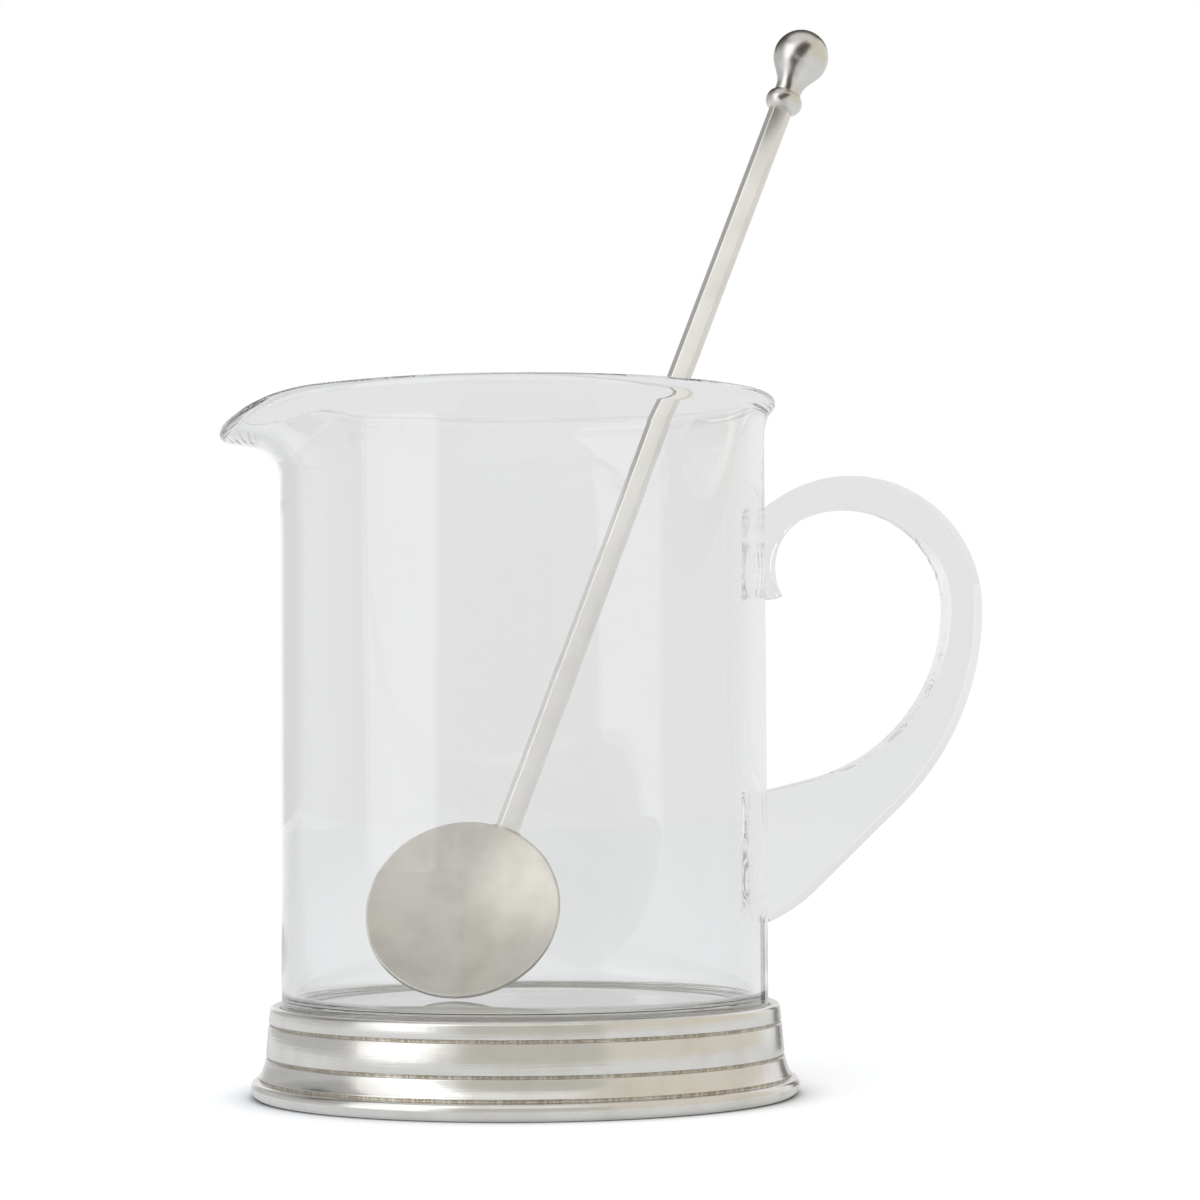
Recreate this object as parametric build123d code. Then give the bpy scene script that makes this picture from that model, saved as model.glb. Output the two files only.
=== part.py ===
from build123d import *

import math
import os

# Glass cocktail pitcher in a turned pewter base, with its pewter stirring spoon.
# Millimetres. The origin is the middle of the foot's underside on the vessel's axis.
# +Z is up, +X points to the handle and -X to the spout.

# Glass vessel
BODY_RADIUS = 52.5
WALL = 3.0
GLASS_HEIGHT = 139.3
FLOOR_THICKNESS = 9.1
INSIDE_CORNER = 2.2
HEEL_RADIUS = 3.5
LIP_BAND = 28.0

# Rim all round, and the spout that is pulled out of it
RIM_ANGLE = 22.0
RIM_BEND = 15.0
RIM_REACH = 1.9
SPOUT_BEARING = 180.0
SPOUT_ANGLE = 76.5
SPOUT_BEND = 9.2
SPOUT_REACH = 12.8
SPOUT_DROP = 5.9
SPOUT_HALF_SPAN = 46.0
SPOUT_SECTIONS = 13
SEAM_TOLERANCE = 0.005

# Applied glass handle, a flat strap whose loop is drawn in the plane of the spout
LOOP_OUT = 18.4
LOOP_RISE = 19.8
LOOP_OUTER = 28.35
LOOP_INNER = 21.65
BACK_OUTER = 60.0
BACK_OUTER_TURN = 46.0
BACK_INNER = 38.5
BACK_INNER_TURN = 76.0
STRAP_TOP_WIDTH = 13.0
STRAP_FOOT_WIDTH = 19.0
STRAP_ROUNDING = 1.6
FOOT_DROP = 69.8
FOOT_CURVE_OUT = 10.0
TAIL_TURN = 118.0
TAIL_OUT = 3.3
TAIL_RISE = 2.2
TAIL_END = 1.2
ROOT_DEPTH = 6.0

# Turned pewter base, from the wall that holds the glass out to the bead that it stands on
BASE_HEIGHT = 19.6
BASE_WALL = 2.2
BAND_TAPER = 0.9
FLARE_OUT = 1.7
FLARE_HOLLOW = 0.3
FLARE_TOP = 8.6
BEAD_OUT = 1.5
BEAD_TOP = 4.1
FOOT_ROUND = 1.9
FOOT_FLAT = 3.2
LIP_HEIGHT = 3.9
LIP_ROUNDING = 1.0
GROOVE_WIDTH = 0.8
GROOVE_DEPTH = 0.4
SEAT_HEIGHT = 10.5
SEAT_WIDTH = 7.0
PLATE_THICKNESS = 1.6
PLATE_RECESS = 1.2
PLATE_LEDGE = 3.0
BEDDING = 0.6
GLASS_CLEARANCE = 0.3
PLATE_CLEARANCE = 0.05

# Stirring spoon
DISH_RADIUS = 21.8
DISH_DEPTH = 4.6
DISH_SHEET = 1.4
DISH_EDGE = 0.4
DISH_CRANK = 19.8
BOSS_RADIUS = 3.3
BOSS_LENGTH = 9.0
SHAFT_SETBACK = 3.2
SHAFT_CORNERS = 5.5
SHAFT_FLAT = 3.3
SHAFT_THICKNESS = 3.8
SHAFT_TURN = 17.0
SHAFT_LENGTH = 178.9
TENON_RADIUS = 1.6
TENON_LENGTH = 6.0
TENON_CLEARANCE = 0.05
COLLAR_RADIUS = 4.3
COLLAR_END_RADIUS = 3.0
COLLAR_HEIGHT = 4.6
NECK_RADIUS = 2.9
NECK_LENGTH = 1.9
KNOB_RADIUS = 6.4
KNOB_HEIGHT = 13.8
KNOB_SHOULDER = 32.0

# How the spoon leans: its shaft meets the rim at this bearing and passes over this spot near the floor
LEAN_BEARING = 46.2
LOW_POINT_X = -3.1
LOW_POINT_Y = 24.2
LOW_POINT_RISE = 36.0
SPOON_TURN = -20.0
SPOON_CLEARANCE = 0.3

# Values worked out from the sizes above
HALF_WALL = WALL / 2
MID_RADIUS = BODY_RADIUS - HALF_WALL
INSIDE_RADIUS = BODY_RADIUS - WALL
GLASS_BOTTOM = SEAT_HEIGHT + BEDDING
GLASS_TOP = GLASS_BOTTOM + GLASS_HEIGHT
INSIDE_FLOOR = GLASS_BOTTOM + FLOOR_THICKNESS
LIP_CENTRE = GLASS_TOP - HALF_WALL
BAND_START = GLASS_TOP - LIP_BAND
LOOP_HEIGHT = (GLASS_TOP + BASE_HEIGHT) / 2 + LOOP_RISE
FOOT_HEIGHT = LOOP_HEIGHT - FOOT_DROP
BORE_RADIUS = BODY_RADIUS + GLASS_CLEARANCE
BASE_TOP_RADIUS = BORE_RADIUS + BASE_WALL
BAND_FOOT_RADIUS = BASE_TOP_RADIUS + BAND_TAPER
FLARE_RADIUS = BAND_FOOT_RADIUS + FLARE_OUT
BEAD_RADIUS = FLARE_RADIUS + BEAD_OUT
FOOT_OUTER = BEAD_RADIUS - FOOT_ROUND
FOOT_INNER = FOOT_OUTER - FOOT_FLAT
SEAT_RADIUS = BORE_RADIUS - SEAT_WIDTH
PLATE_RADIUS = SEAT_RADIUS + PLATE_LEDGE
PLATE_TOP = PLATE_RECESS + PLATE_THICKNESS
SOCKET_RADIUS = TENON_RADIUS + TENON_CLEARANCE
SOCKET_DEPTH = TENON_LENGTH + TENON_CLEARANCE


def polar(centre, radius, degrees):
    """Point at a radius and an angle from a centre."""
    turn = math.radians(degrees)
    return (centre[0] + radius * math.cos(turn), centre[1] + radius * math.sin(turn))


def upright(bearing):
    """Plane through the axis at a bearing, with its x pointing outwards and its y up."""
    turn = math.radians(bearing)
    out = (math.cos(turn), math.sin(turn), 0)
    side = (math.sin(turn), -math.cos(turn), 0)
    return Plane(origin=(0, 0, 0), x_dir=out, z_dir=side)


def lip_section(share):
    """Wall at the top of the vessel, bent outwards: share 0 is the plain rim, 1 the middle of the spout."""
    degrees = RIM_ANGLE + (SPOUT_ANGLE - RIM_ANGLE) * share
    bend = RIM_BEND + (SPOUT_BEND - RIM_BEND) * share
    reach = RIM_REACH + (SPOUT_REACH - RIM_REACH) * share
    tip_height = LIP_CENTRE - SPOUT_DROP * share**2
    turn = math.radians(degrees)
    run = (reach - bend * (1 - math.cos(turn))) / math.sin(turn)
    start = tip_height - bend * math.sin(turn) - run * math.cos(turn)
    pivot = (MID_RADIUS + bend, start)
    along = (run * math.sin(turn), run * math.cos(turn))
    tip = (MID_RADIUS + reach, tip_height)

    def bent(radius, part):
        return polar(pivot, radius, 180 - degrees * part)

    def shifted(point):
        return (point[0] + along[0], point[1] + along[1])

    under, over = bend - HALF_WALL, bend + HALF_WALL
    edges = [
        Line((BODY_RADIUS, BAND_START), bent(under, 0)),
        ThreePointArc(bent(under, 0), bent(under, 0.5), bent(under, 1)),
        Line(bent(under, 1), shifted(bent(under, 1))),
        ThreePointArc(
            shifted(bent(under, 1)),
            polar(tip, HALF_WALL, 90 - degrees),
            shifted(bent(over, 1)),
        ),
        Line(shifted(bent(over, 1)), bent(over, 1)),
        ThreePointArc(bent(over, 1), bent(over, 0.5), bent(over, 0)),
        Line(bent(over, 0), (INSIDE_RADIUS, BAND_START)),
        Line((INSIDE_RADIUS, BAND_START), (BODY_RADIUS, BAND_START)),
    ]
    return make_face(edges)


def make_glass_body():
    """Blown vessel: heavy floor and straight wall turned about the axis, plain rim, and the spout."""
    heel_start = (BODY_RADIUS - HEEL_RADIUS, GLASS_BOTTOM)
    heel_end = (BODY_RADIUS, GLASS_BOTTOM + HEEL_RADIUS)
    heel_middle = polar((heel_start[0], heel_end[1]), HEEL_RADIUS, -45)
    corner_start = (INSIDE_RADIUS, INSIDE_FLOOR + INSIDE_CORNER)
    corner_end = (INSIDE_RADIUS - INSIDE_CORNER, INSIDE_FLOOR)
    corner_middle = polar((corner_end[0], corner_start[1]), INSIDE_CORNER, -45)
    outline = [
        Line((0, GLASS_BOTTOM), heel_start),
        ThreePointArc(heel_start, heel_middle, heel_end),
        Line(heel_end, (BODY_RADIUS, BAND_START)),
        Line((BODY_RADIUS, BAND_START), (INSIDE_RADIUS, BAND_START)),
        Line((INSIDE_RADIUS, BAND_START), corner_start),
        ThreePointArc(corner_start, corner_middle, corner_end),
        Line(corner_end, (0, INSIDE_FLOOR)),
        Line((0, INSIDE_FLOOR), (0, GLASS_BOTTOM)),
    ]
    tumbler = revolve(Plane.XZ * make_face(outline), axis=Axis.Z)

    plain_arc = 360 - 2 * SPOUT_HALF_SPAN
    plain_start = upright(SPOUT_BEARING + SPOUT_HALF_SPAN)
    plain_rim = revolve(plain_start * lip_section(0), axis=Axis.Z, revolution_arc=plain_arc)

    sections = []
    for index in range(SPOUT_SECTIONS):
        across = 2 * index / (SPOUT_SECTIONS - 1) - 1
        share = math.cos(math.pi / 2 * across) ** 2
        sections.append(upright(SPOUT_BEARING + across * SPOUT_HALF_SPAN) * lip_section(share))
    spout = loft(sections)
    return tumbler.fuse(plain_rim, spout, tol=SEAM_TOLERANCE)


def make_glass_handle():
    """Strap loop in the XZ plane with a thick foot below and a hooked tail above, laid onto the wall."""
    loop = (BODY_RADIUS + LOOP_OUT, LOOP_HEIGHT)
    root = BODY_RADIUS - ROOT_DEPTH
    crown_turn = math.degrees(math.acos((root - loop[0]) / LOOP_OUTER))
    outer_pivot = (loop[0] + LOOP_OUTER - BACK_OUTER, LOOP_HEIGHT)
    inner_pivot = (loop[0] + LOOP_INNER - BACK_INNER, LOOP_HEIGHT)
    crown_root = polar(loop, LOOP_OUTER, crown_turn)
    outer_side = (loop[0] + LOOP_OUTER, LOOP_HEIGHT)
    outer_low = polar(outer_pivot, BACK_OUTER, -BACK_OUTER_TURN)
    slope = math.radians(BACK_OUTER_TURN)
    foot_start_out = BODY_RADIUS + FOOT_CURVE_OUT
    foot_run = (outer_low[0] - foot_start_out) / math.sin(slope)
    foot_start = (foot_start_out, outer_low[1] - foot_run * math.cos(slope))
    foot_way = (-math.sin(slope), -math.cos(slope))
    inner_side = (loop[0] + LOOP_INNER, LOOP_HEIGHT)
    inner_low = polar(inner_pivot, BACK_INNER, -BACK_INNER_TURN)
    root_slope = math.tan(math.radians(90 - BACK_INNER_TURN))
    inner_root = (root, inner_low[1] - (inner_low[0] - root) * root_slope)
    tail_start = polar(loop, LOOP_INNER, TAIL_TURN)
    tail_tip = (BODY_RADIUS + TAIL_OUT, LOOP_HEIGHT + TAIL_RISE)
    tail_root = (root, LOOP_HEIGHT + TAIL_RISE - TAIL_END)
    tail_way = (-math.sin(math.radians(TAIL_TURN)), math.cos(math.radians(TAIL_TURN)))
    outline = [
        ThreePointArc(crown_root, polar(loop, LOOP_OUTER, crown_turn / 2), outer_side),
        ThreePointArc(outer_side, polar(outer_pivot, BACK_OUTER, -BACK_OUTER_TURN / 2), outer_low),
        Line(outer_low, foot_start),
        TangentArc(foot_start, (root, FOOT_HEIGHT), tangent=foot_way),
        Line((root, FOOT_HEIGHT), inner_root),
        Line(inner_root, inner_low),
        ThreePointArc(inner_low, polar(inner_pivot, BACK_INNER, -BACK_INNER_TURN / 2), inner_side),
        ThreePointArc(inner_side, polar(loop, LOOP_INNER, TAIL_TURN / 2), tail_start),
        TangentArc(tail_start, tail_tip, tangent=tail_way),
        Line(tail_tip, tail_root),
        Line(tail_root, crown_root),
    ]
    strap = extrude(Plane.XZ * make_face(outline), amount=STRAP_FOOT_WIDTH, both=True)

    crown = LOOP_HEIGHT + LOOP_OUTER
    front_view = Polygon(
        (-STRAP_FOOT_WIDTH / 2, FOOT_HEIGHT),
        (STRAP_FOOT_WIDTH / 2, FOOT_HEIGHT),
        (STRAP_TOP_WIDTH / 2, crown),
        (-STRAP_TOP_WIDTH / 2, crown),
        align=None,
    )
    strap = strap & extrude(Plane.YZ * front_view, amount=outer_side[0])
    across = strap.faces().sort_by(Axis.Y)
    sides = [across[0], across[-1]]
    long_edges = [edge for face in sides for edge in face.edges() if edge.bounding_box().max.X > BODY_RADIUS]
    strap = fillet(long_edges, STRAP_ROUNDING)
    return strap - Pos(0, 0, GLASS_TOP / 2) * Cylinder(BODY_RADIUS, GLASS_TOP)


def make_pewter_base():
    """Turned ring: rounded lip, banded grooves, a flare, and a bead foot; a ledge inside seats the glass."""
    bead_middle = (BEAD_RADIUS, BEAD_TOP / 2)
    flare_middle = (BAND_FOOT_RADIUS + FLARE_OUT * FLARE_HOLLOW, (BEAD_TOP + FLARE_TOP) / 2)
    outline = [
        Line((FOOT_INNER, 0), (FOOT_OUTER, 0)),
        ThreePointArc((FOOT_OUTER, 0), bead_middle, (FLARE_RADIUS, BEAD_TOP)),
        ThreePointArc((FLARE_RADIUS, BEAD_TOP), flare_middle, (BAND_FOOT_RADIUS, FLARE_TOP)),
        Line((BAND_FOOT_RADIUS, FLARE_TOP), (BASE_TOP_RADIUS, BASE_HEIGHT)),
        Line((BASE_TOP_RADIUS, BASE_HEIGHT), (BORE_RADIUS, BASE_HEIGHT)),
        Line((BORE_RADIUS, BASE_HEIGHT), (BORE_RADIUS, SEAT_HEIGHT)),
        Line((BORE_RADIUS, SEAT_HEIGHT), (SEAT_RADIUS, SEAT_HEIGHT)),
        Line((SEAT_RADIUS, SEAT_HEIGHT), (SEAT_RADIUS, PLATE_TOP)),
        Line((SEAT_RADIUS, PLATE_TOP), (PLATE_RADIUS, PLATE_TOP)),
        Line((PLATE_RADIUS, PLATE_TOP), (PLATE_RADIUS, PLATE_RECESS)),
        Line((PLATE_RADIUS, PLATE_RECESS), (FOOT_INNER, 0)),
    ]
    base = revolve(Plane.XZ * make_face(outline), axis=Axis.Z)
    lip = base.edges().filter_by(GeomType.CIRCLE).group_by(Axis.Z)[-1]
    base = fillet(lip, LIP_ROUNDING)
    slope = BAND_TAPER / (BASE_HEIGHT - FLARE_TOP)
    lip_groove = (BASE_HEIGHT - LIP_HEIGHT, BASE_TOP_RADIUS + slope * LIP_HEIGHT)
    for height, radius in (lip_groove, (FLARE_TOP, BAND_FOOT_RADIUS), (BEAD_TOP, FLARE_RADIUS)):
        cutter = Pos(radius + GROOVE_WIDTH / 2 - GROOVE_DEPTH, height) * Circle(GROOVE_WIDTH / 2)
        base = base - revolve(Plane.XZ * cutter, axis=Axis.Z)
    return base


def make_base_plate():
    """Pewter disc let into the underside of the base."""
    disc = Cylinder(PLATE_RADIUS - PLATE_CLEARANCE, PLATE_THICKNESS)
    return Pos(0, 0, PLATE_RECESS + PLATE_THICKNESS / 2) * disc


def make_bedding_ring():
    """Thin clear ring of adhesive between the base's ledge and the glass."""
    ring = Cylinder(BODY_RADIUS - HEEL_RADIUS, BEDDING) - Cylinder(SEAT_RADIUS, BEDDING)
    return Pos(0, 0, SEAT_HEIGHT + BEDDING / 2) * ring


def dish_plane():
    """Plane of the spoon dish's rim in the spoon's own frame, with its normal out of the hollow."""
    crank = math.radians(DISH_CRANK)
    centre = (0, -SHAFT_SETBACK - DISH_RADIUS * math.sin(crank), -DISH_RADIUS * math.cos(crank))
    return Plane(origin=centre, x_dir=(1, 0, 0), z_dir=(0, -math.cos(crank), math.sin(crank)))


def make_spoon_bowl():
    """Round dished bowl with a boss behind its edge, bored for the shaft's lower tenon."""
    ball = (DISH_RADIUS**2 + DISH_DEPTH**2) / (2 * DISH_DEPTH)
    middle = Pos(0, 0, ball - DISH_DEPTH)
    hollow = middle * Sphere(ball)
    shell = middle * Sphere(ball + DISH_SHEET) - hollow
    shell = shell & Pos(0, 0, -ball) * Cylinder(DISH_RADIUS, 2 * ball)
    shell = fillet(shell.edges().group_by(Axis.Z)[-1], DISH_EDGE)
    boss = Pos(0, 0, -BOSS_LENGTH / 2) * Cylinder(BOSS_RADIUS, BOSS_LENGTH)
    boss = boss + Pos(0, 0, -BOSS_LENGTH) * Sphere(BOSS_RADIUS)
    place = dish_plane()
    front = place * (Pos(0, 0, ball) * Cylinder(2 * DISH_RADIUS, 2 * ball))
    boss = boss - place * hollow - front
    socket = Pos(0, 0, -SOCKET_DEPTH / 2) * Cylinder(SOCKET_RADIUS, SOCKET_DEPTH)
    return place * shell + boss - socket


def shaft_corners():
    """Corners of the shaft's six-sided section, wider than it is thick, in the spoon's own frame."""
    half, flat, thick = SHAFT_CORNERS / 2, SHAFT_FLAT / 2, SHAFT_THICKNESS / 2
    square = [(half, 0), (flat, thick), (-flat, thick), (-half, 0), (-flat, -thick), (flat, -thick)]
    return [Vector(x, y, 0).rotate(Axis.Z, SHAFT_TURN) for x, y in square]


def make_spoon_shaft():
    """Six-sided bar with a round tenon at each end, its flats turned a little from the bowl's face."""
    section = make_face(Polyline(*shaft_corners(), close=True))
    bar = extrude(section, amount=SHAFT_LENGTH)
    tenon = Cylinder(TENON_RADIUS, TENON_LENGTH)
    lower = Pos(0, 0, -TENON_LENGTH / 2) * tenon
    upper = Pos(0, 0, SHAFT_LENGTH + TENON_LENGTH / 2) * tenon
    return bar + lower + upper


def make_spoon_finial():
    """Turned finial: a bead collar, a neck and a pear-shaped knob, bored for the shaft's upper tenon."""
    neck_start = (NECK_RADIUS, COLLAR_HEIGHT)
    neck_end = COLLAR_HEIGHT + NECK_LENGTH / 2
    knob_top = COLLAR_HEIGHT + NECK_LENGTH + KNOB_HEIGHT
    knob_middle = (0, knob_top - KNOB_RADIUS)
    shoulder = polar(knob_middle, KNOB_RADIUS, -KNOB_SHOULDER)
    shoulder_way = polar((0, 0), 1, 90 - KNOB_SHOULDER)
    outline = [
        Line((0, 0), (COLLAR_END_RADIUS, 0)),
        ThreePointArc((COLLAR_END_RADIUS, 0), (COLLAR_RADIUS, COLLAR_HEIGHT / 2), neck_start),
        Line(neck_start, (NECK_RADIUS, neck_end)),
        Spline((NECK_RADIUS, neck_end), shoulder, tangents=[(0, 1), shoulder_way]),
        ThreePointArc(shoulder, polar(knob_middle, KNOB_RADIUS, 45 - KNOB_SHOULDER / 2), (0, knob_top)),
        Line((0, knob_top), (0, 0)),
    ]
    finial = revolve(Plane.XZ * make_face(outline), axis=Axis.Z)
    finial = finial - Pos(0, 0, SOCKET_DEPTH / 2) * Cylinder(SOCKET_RADIUS, SOCKET_DEPTH)
    return Pos(0, 0, SHAFT_LENGTH) * finial


def lean_spoon(pieces):
    """Leans the finished spoon on the rim and lets it down until its bowl is just clear of the floor."""
    turn = math.radians(RIM_ANGLE)
    rim_inner = MID_RADIUS + RIM_REACH - HALF_WALL * math.cos(turn)
    rim_height = LIP_CENTRE + HALF_WALL * math.sin(turn)
    low = Vector(LOW_POINT_X, LOW_POINT_Y, INSIDE_FLOOR + LOW_POINT_RISE)
    bearing = math.radians(LEAN_BEARING)
    outward = Vector(math.cos(bearing), math.sin(bearing), 0)
    rise = Vector(0, 0, rim_height)
    steep = (outward * rim_inner + rise - low).normalized()
    facing_rim = Vector(1, 0, 0).rotate(Axis.Z, LEAN_BEARING - SPOON_TURN)
    shaft_reach = max(corner.dot(facing_rim) for corner in shaft_corners())
    beside = (shaft_reach + SPOON_CLEARANCE) / steep.Z
    way = (outward * (rim_inner - beside) + rise - low).normalized()
    facing = Plane(origin=tuple(low), x_dir=(way.Z, 0, -way.X), z_dir=tuple(way))
    leaned = [facing * Rot(0, 0, SPOON_TURN) * piece for piece in pieces]
    lowest = min(piece.bounding_box().min.Z for piece in leaned)
    slide = way * ((INSIDE_FLOOR + SPOON_CLEARANCE - lowest) / way.Z)
    return [Pos(slide.X, slide.Y, slide.Z) * piece for piece in leaned]


def main():
    bowl, shaft, finial = lean_spoon([make_spoon_bowl(), make_spoon_shaft(), make_spoon_finial()])
    nodes = {
        "glass_body": make_glass_body(),
        "glass_handle": make_glass_handle(),
        "pewter_base": make_pewter_base(),
        "base_plate": make_base_plate(),
        "bedding_ring": make_bedding_ring(),
        "spoon_bowl": bowl,
        "spoon_shaft": shaft,
        "spoon_finial": finial,
    }
    os.makedirs("parts", exist_ok=True)
    for name, solid in nodes.items():
        export_step(solid, f"parts/{name}.step")


main()
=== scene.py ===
"""Looks of a glass cocktail pitcher in a turned pewter base, with its pewter stirring spoon."""

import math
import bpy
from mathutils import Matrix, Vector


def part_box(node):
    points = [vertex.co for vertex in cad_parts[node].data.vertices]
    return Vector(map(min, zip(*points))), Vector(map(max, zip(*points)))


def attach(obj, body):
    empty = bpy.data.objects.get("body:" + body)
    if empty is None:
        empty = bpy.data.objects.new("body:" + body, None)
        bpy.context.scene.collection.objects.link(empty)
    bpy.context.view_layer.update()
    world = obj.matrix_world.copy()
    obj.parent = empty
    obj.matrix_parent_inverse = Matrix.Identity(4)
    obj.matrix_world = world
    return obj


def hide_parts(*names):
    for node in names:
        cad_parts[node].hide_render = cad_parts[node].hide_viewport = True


bl_info = {
    "name": "Glass Cocktail Pitcher",
    "version": (1, 0, 0),
    "blender": (4, 5, 0),
    "location": "View3D > Sidebar > Pitcher",
    "description": "Models and finishes a blown glass pitcher, its pewter base and its stirring spoon",
    "category": "Add Mesh",
}

import bmesh
import bpy
from bpy.props import FloatProperty, FloatVectorProperty, IntProperty, PointerProperty
from mathutils import Matrix, Vector

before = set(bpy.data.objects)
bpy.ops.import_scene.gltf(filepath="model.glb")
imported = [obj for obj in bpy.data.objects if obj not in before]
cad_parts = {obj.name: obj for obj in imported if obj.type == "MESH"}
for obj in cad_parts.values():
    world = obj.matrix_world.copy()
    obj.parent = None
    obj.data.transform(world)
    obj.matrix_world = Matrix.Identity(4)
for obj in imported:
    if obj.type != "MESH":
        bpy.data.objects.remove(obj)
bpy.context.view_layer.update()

GLASS_LOW, GLASS_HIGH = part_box("glass_body")
BASE_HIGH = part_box("pewter_base")[1]
PLATE_LOW, PLATE_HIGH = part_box("base_plate")
BEDDING_LOW, BEDDING_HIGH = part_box("bedding_ring")
BOWL_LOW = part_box("spoon_bowl")[0]
FINIAL_LOW, FINIAL_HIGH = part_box("spoon_finial")

# How far the plain rim stands out, how thick the vessel's floor is, and how near points are made one
RIM_REACH = 0.0019
FLOOR_THICKNESS = 0.0091
MERGE = 1e-7


def length(name, description, default):
    """A size in metres that a user may change."""
    return FloatProperty(name=name, description=description, default=default, precision=5, unit="LENGTH")


def angle(name, description, degrees):
    """An angle that a user may change, given in degrees."""
    return FloatProperty(name=name, description=description, default=math.radians(degrees), unit="ROTATION")


def number(name, description, default):
    """A plain number that a user may change."""
    return FloatProperty(name=name, description=description, default=default)


def count(name, description, default):
    """A whole number that a user may change."""
    return IntProperty(name=name, description=description, default=default)


def tint(name, description, default):
    """A colour that a user may change."""
    return FloatVectorProperty(
        name=name, description=description, default=default, size=4, min=0, max=1, subtype="COLOR"
    )


class VesselSizes(bpy.types.PropertyGroup):
    """Blown glass vessel with its rim and spout."""

    radius: length("Radius", "Outside of the straight wall", GLASS_HIGH[1] - RIM_REACH)
    wall: length("Wall", "Thickness of the wall", 0.0030)
    inside_floor: length("Inside floor", "Height of the floor inside", GLASS_LOW[2] + FLOOR_THICKNESS)
    inside_corner: length("Inside corner", "Radius where floor and wall meet inside", 0.0022)
    heel: length("Heel", "Radius of the outside edge below", 0.0035)
    lip_band: length("Lip band", "Height of the band that the rim and spout are shaped in", 0.0280)
    rim_angle: angle("Rim angle", "How far the plain rim leans out", 22.0)
    rim_bend: length("Rim bend", "Radius of the bend below the plain rim", 0.0150)
    rim_reach: length("Rim reach", "How far the plain rim stands out", RIM_REACH)
    rim_swell: length("Rim swell", "How much the melted rim thickens on its outside", 0.0003)
    spout_angle: angle("Spout angle", "How far the spout leans out", 76.5)
    spout_bend: length("Spout bend", "Radius of the bend below the spout", 0.0092)
    spout_reach: length("Spout reach", "How far the spout stands out", 0.0128)
    spout_drop: length("Spout drop", "How far the spout's tip hangs below the rim", 0.0059)
    spout_half_span: angle("Spout half span", "Bearing from the spout's middle to its edge", 46.0)
    steps: count("Steps", "Faces round the vessel", 256)


class HandleSizes(bpy.types.PropertyGroup):
    """Applied glass handle, a flat strap drawn in the plane of the spout."""

    loop_out: length("Loop out", "Loop's centre out from the wall", 0.0184)
    loop_height: length("Loop height", "Height of the loop's centre", 0.1048)
    loop_outer: length("Loop outer", "Outer radius of the crown", 0.02835)
    loop_inner: length("Loop inner", "Inner radius of the crown", 0.02165)
    back_outer: length("Back outer", "Outer radius of the back", 0.0600)
    back_outer_turn: angle("Back outer turn", "Turn of the back's outer arc", 46.0)
    back_inner: length("Back inner", "Inner radius of the back", 0.0385)
    back_inner_turn: angle("Back inner turn", "Turn of the back's inner arc", 76.0)
    top_width: length("Top width", "Width of the strap at the crown", 0.0130)
    foot_width: length("Foot width", "Width of the strap at the foot", 0.0190)
    foot_height: length("Foot height", "Height of the foot's lowest point at the wall", 0.0350)
    foot_curve_out: length("Foot curve out", "Start of the foot's last curve, out from the wall", 0.0100)
    tail_turn: angle("Tail turn", "Turn of the crown's inner arc up to the tail", 118.0)
    tail_out: length("Tail out", "How far the tail's tip stands out", 0.0033)
    tail_height: length("Tail height", "Height of the tail's tip", 0.1070)
    tail_end: length("Tail end", "Drop of the tail's end towards the wall", 0.0012)
    root_depth: length("Root depth", "How far the rough strap reaches behind the wall's outside", 0.0060)
    sink: length("Sink", "How deep the strap is melted into the wall", 0.0012)
    edge: length("Edge", "Rounding of the strap's long edges", 0.0008)
    tail_edge: length("Tail edge", "Rounding of the strap's edges halfway along the tail", 0.0034)


class BaseSizes(bpy.types.PropertyGroup):
    """Turned pewter base."""

    wall: length("Wall", "Thickness at the lip", 0.0022)
    taper: length("Taper", "How much the band widens downwards", 0.0009)
    flare: length("Flare", "How far the flare stands out", 0.0017)
    flare_hollow: number("Flare hollow", "Share of the flare at mid height", 0.3)
    flare_top: length("Flare top", "Height of the flare's upper edge", 0.0086)
    bead: length("Bead", "How far the foot's bead stands out from the flare", 0.0015)
    bead_top: length("Bead top", "Height of the bead", 0.0041)
    foot_round: length("Foot round", "How far the foot's flat lies inside the bead", 0.0019)
    foot_flat: length("Foot flat", "Width of the foot's flat", 0.0032)
    lip_height: length("Lip height", "Groove below the lip", 0.0039)
    lip_rounding: length("Lip rounding", "Radius of the lip's edges", 0.0010)
    groove_width: length("Groove width", "Width of a turned groove", 0.0008)
    groove_depth: length("Groove depth", "Depth of a turned groove", 0.0004)
    seat_width: length("Seat width", "Width of the ledge that the glass stands on", 0.0070)
    edge: length("Edge", "Softening of the turned edges", 0.00018)
    steps: count("Steps", "Faces round the base", 256)


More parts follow.
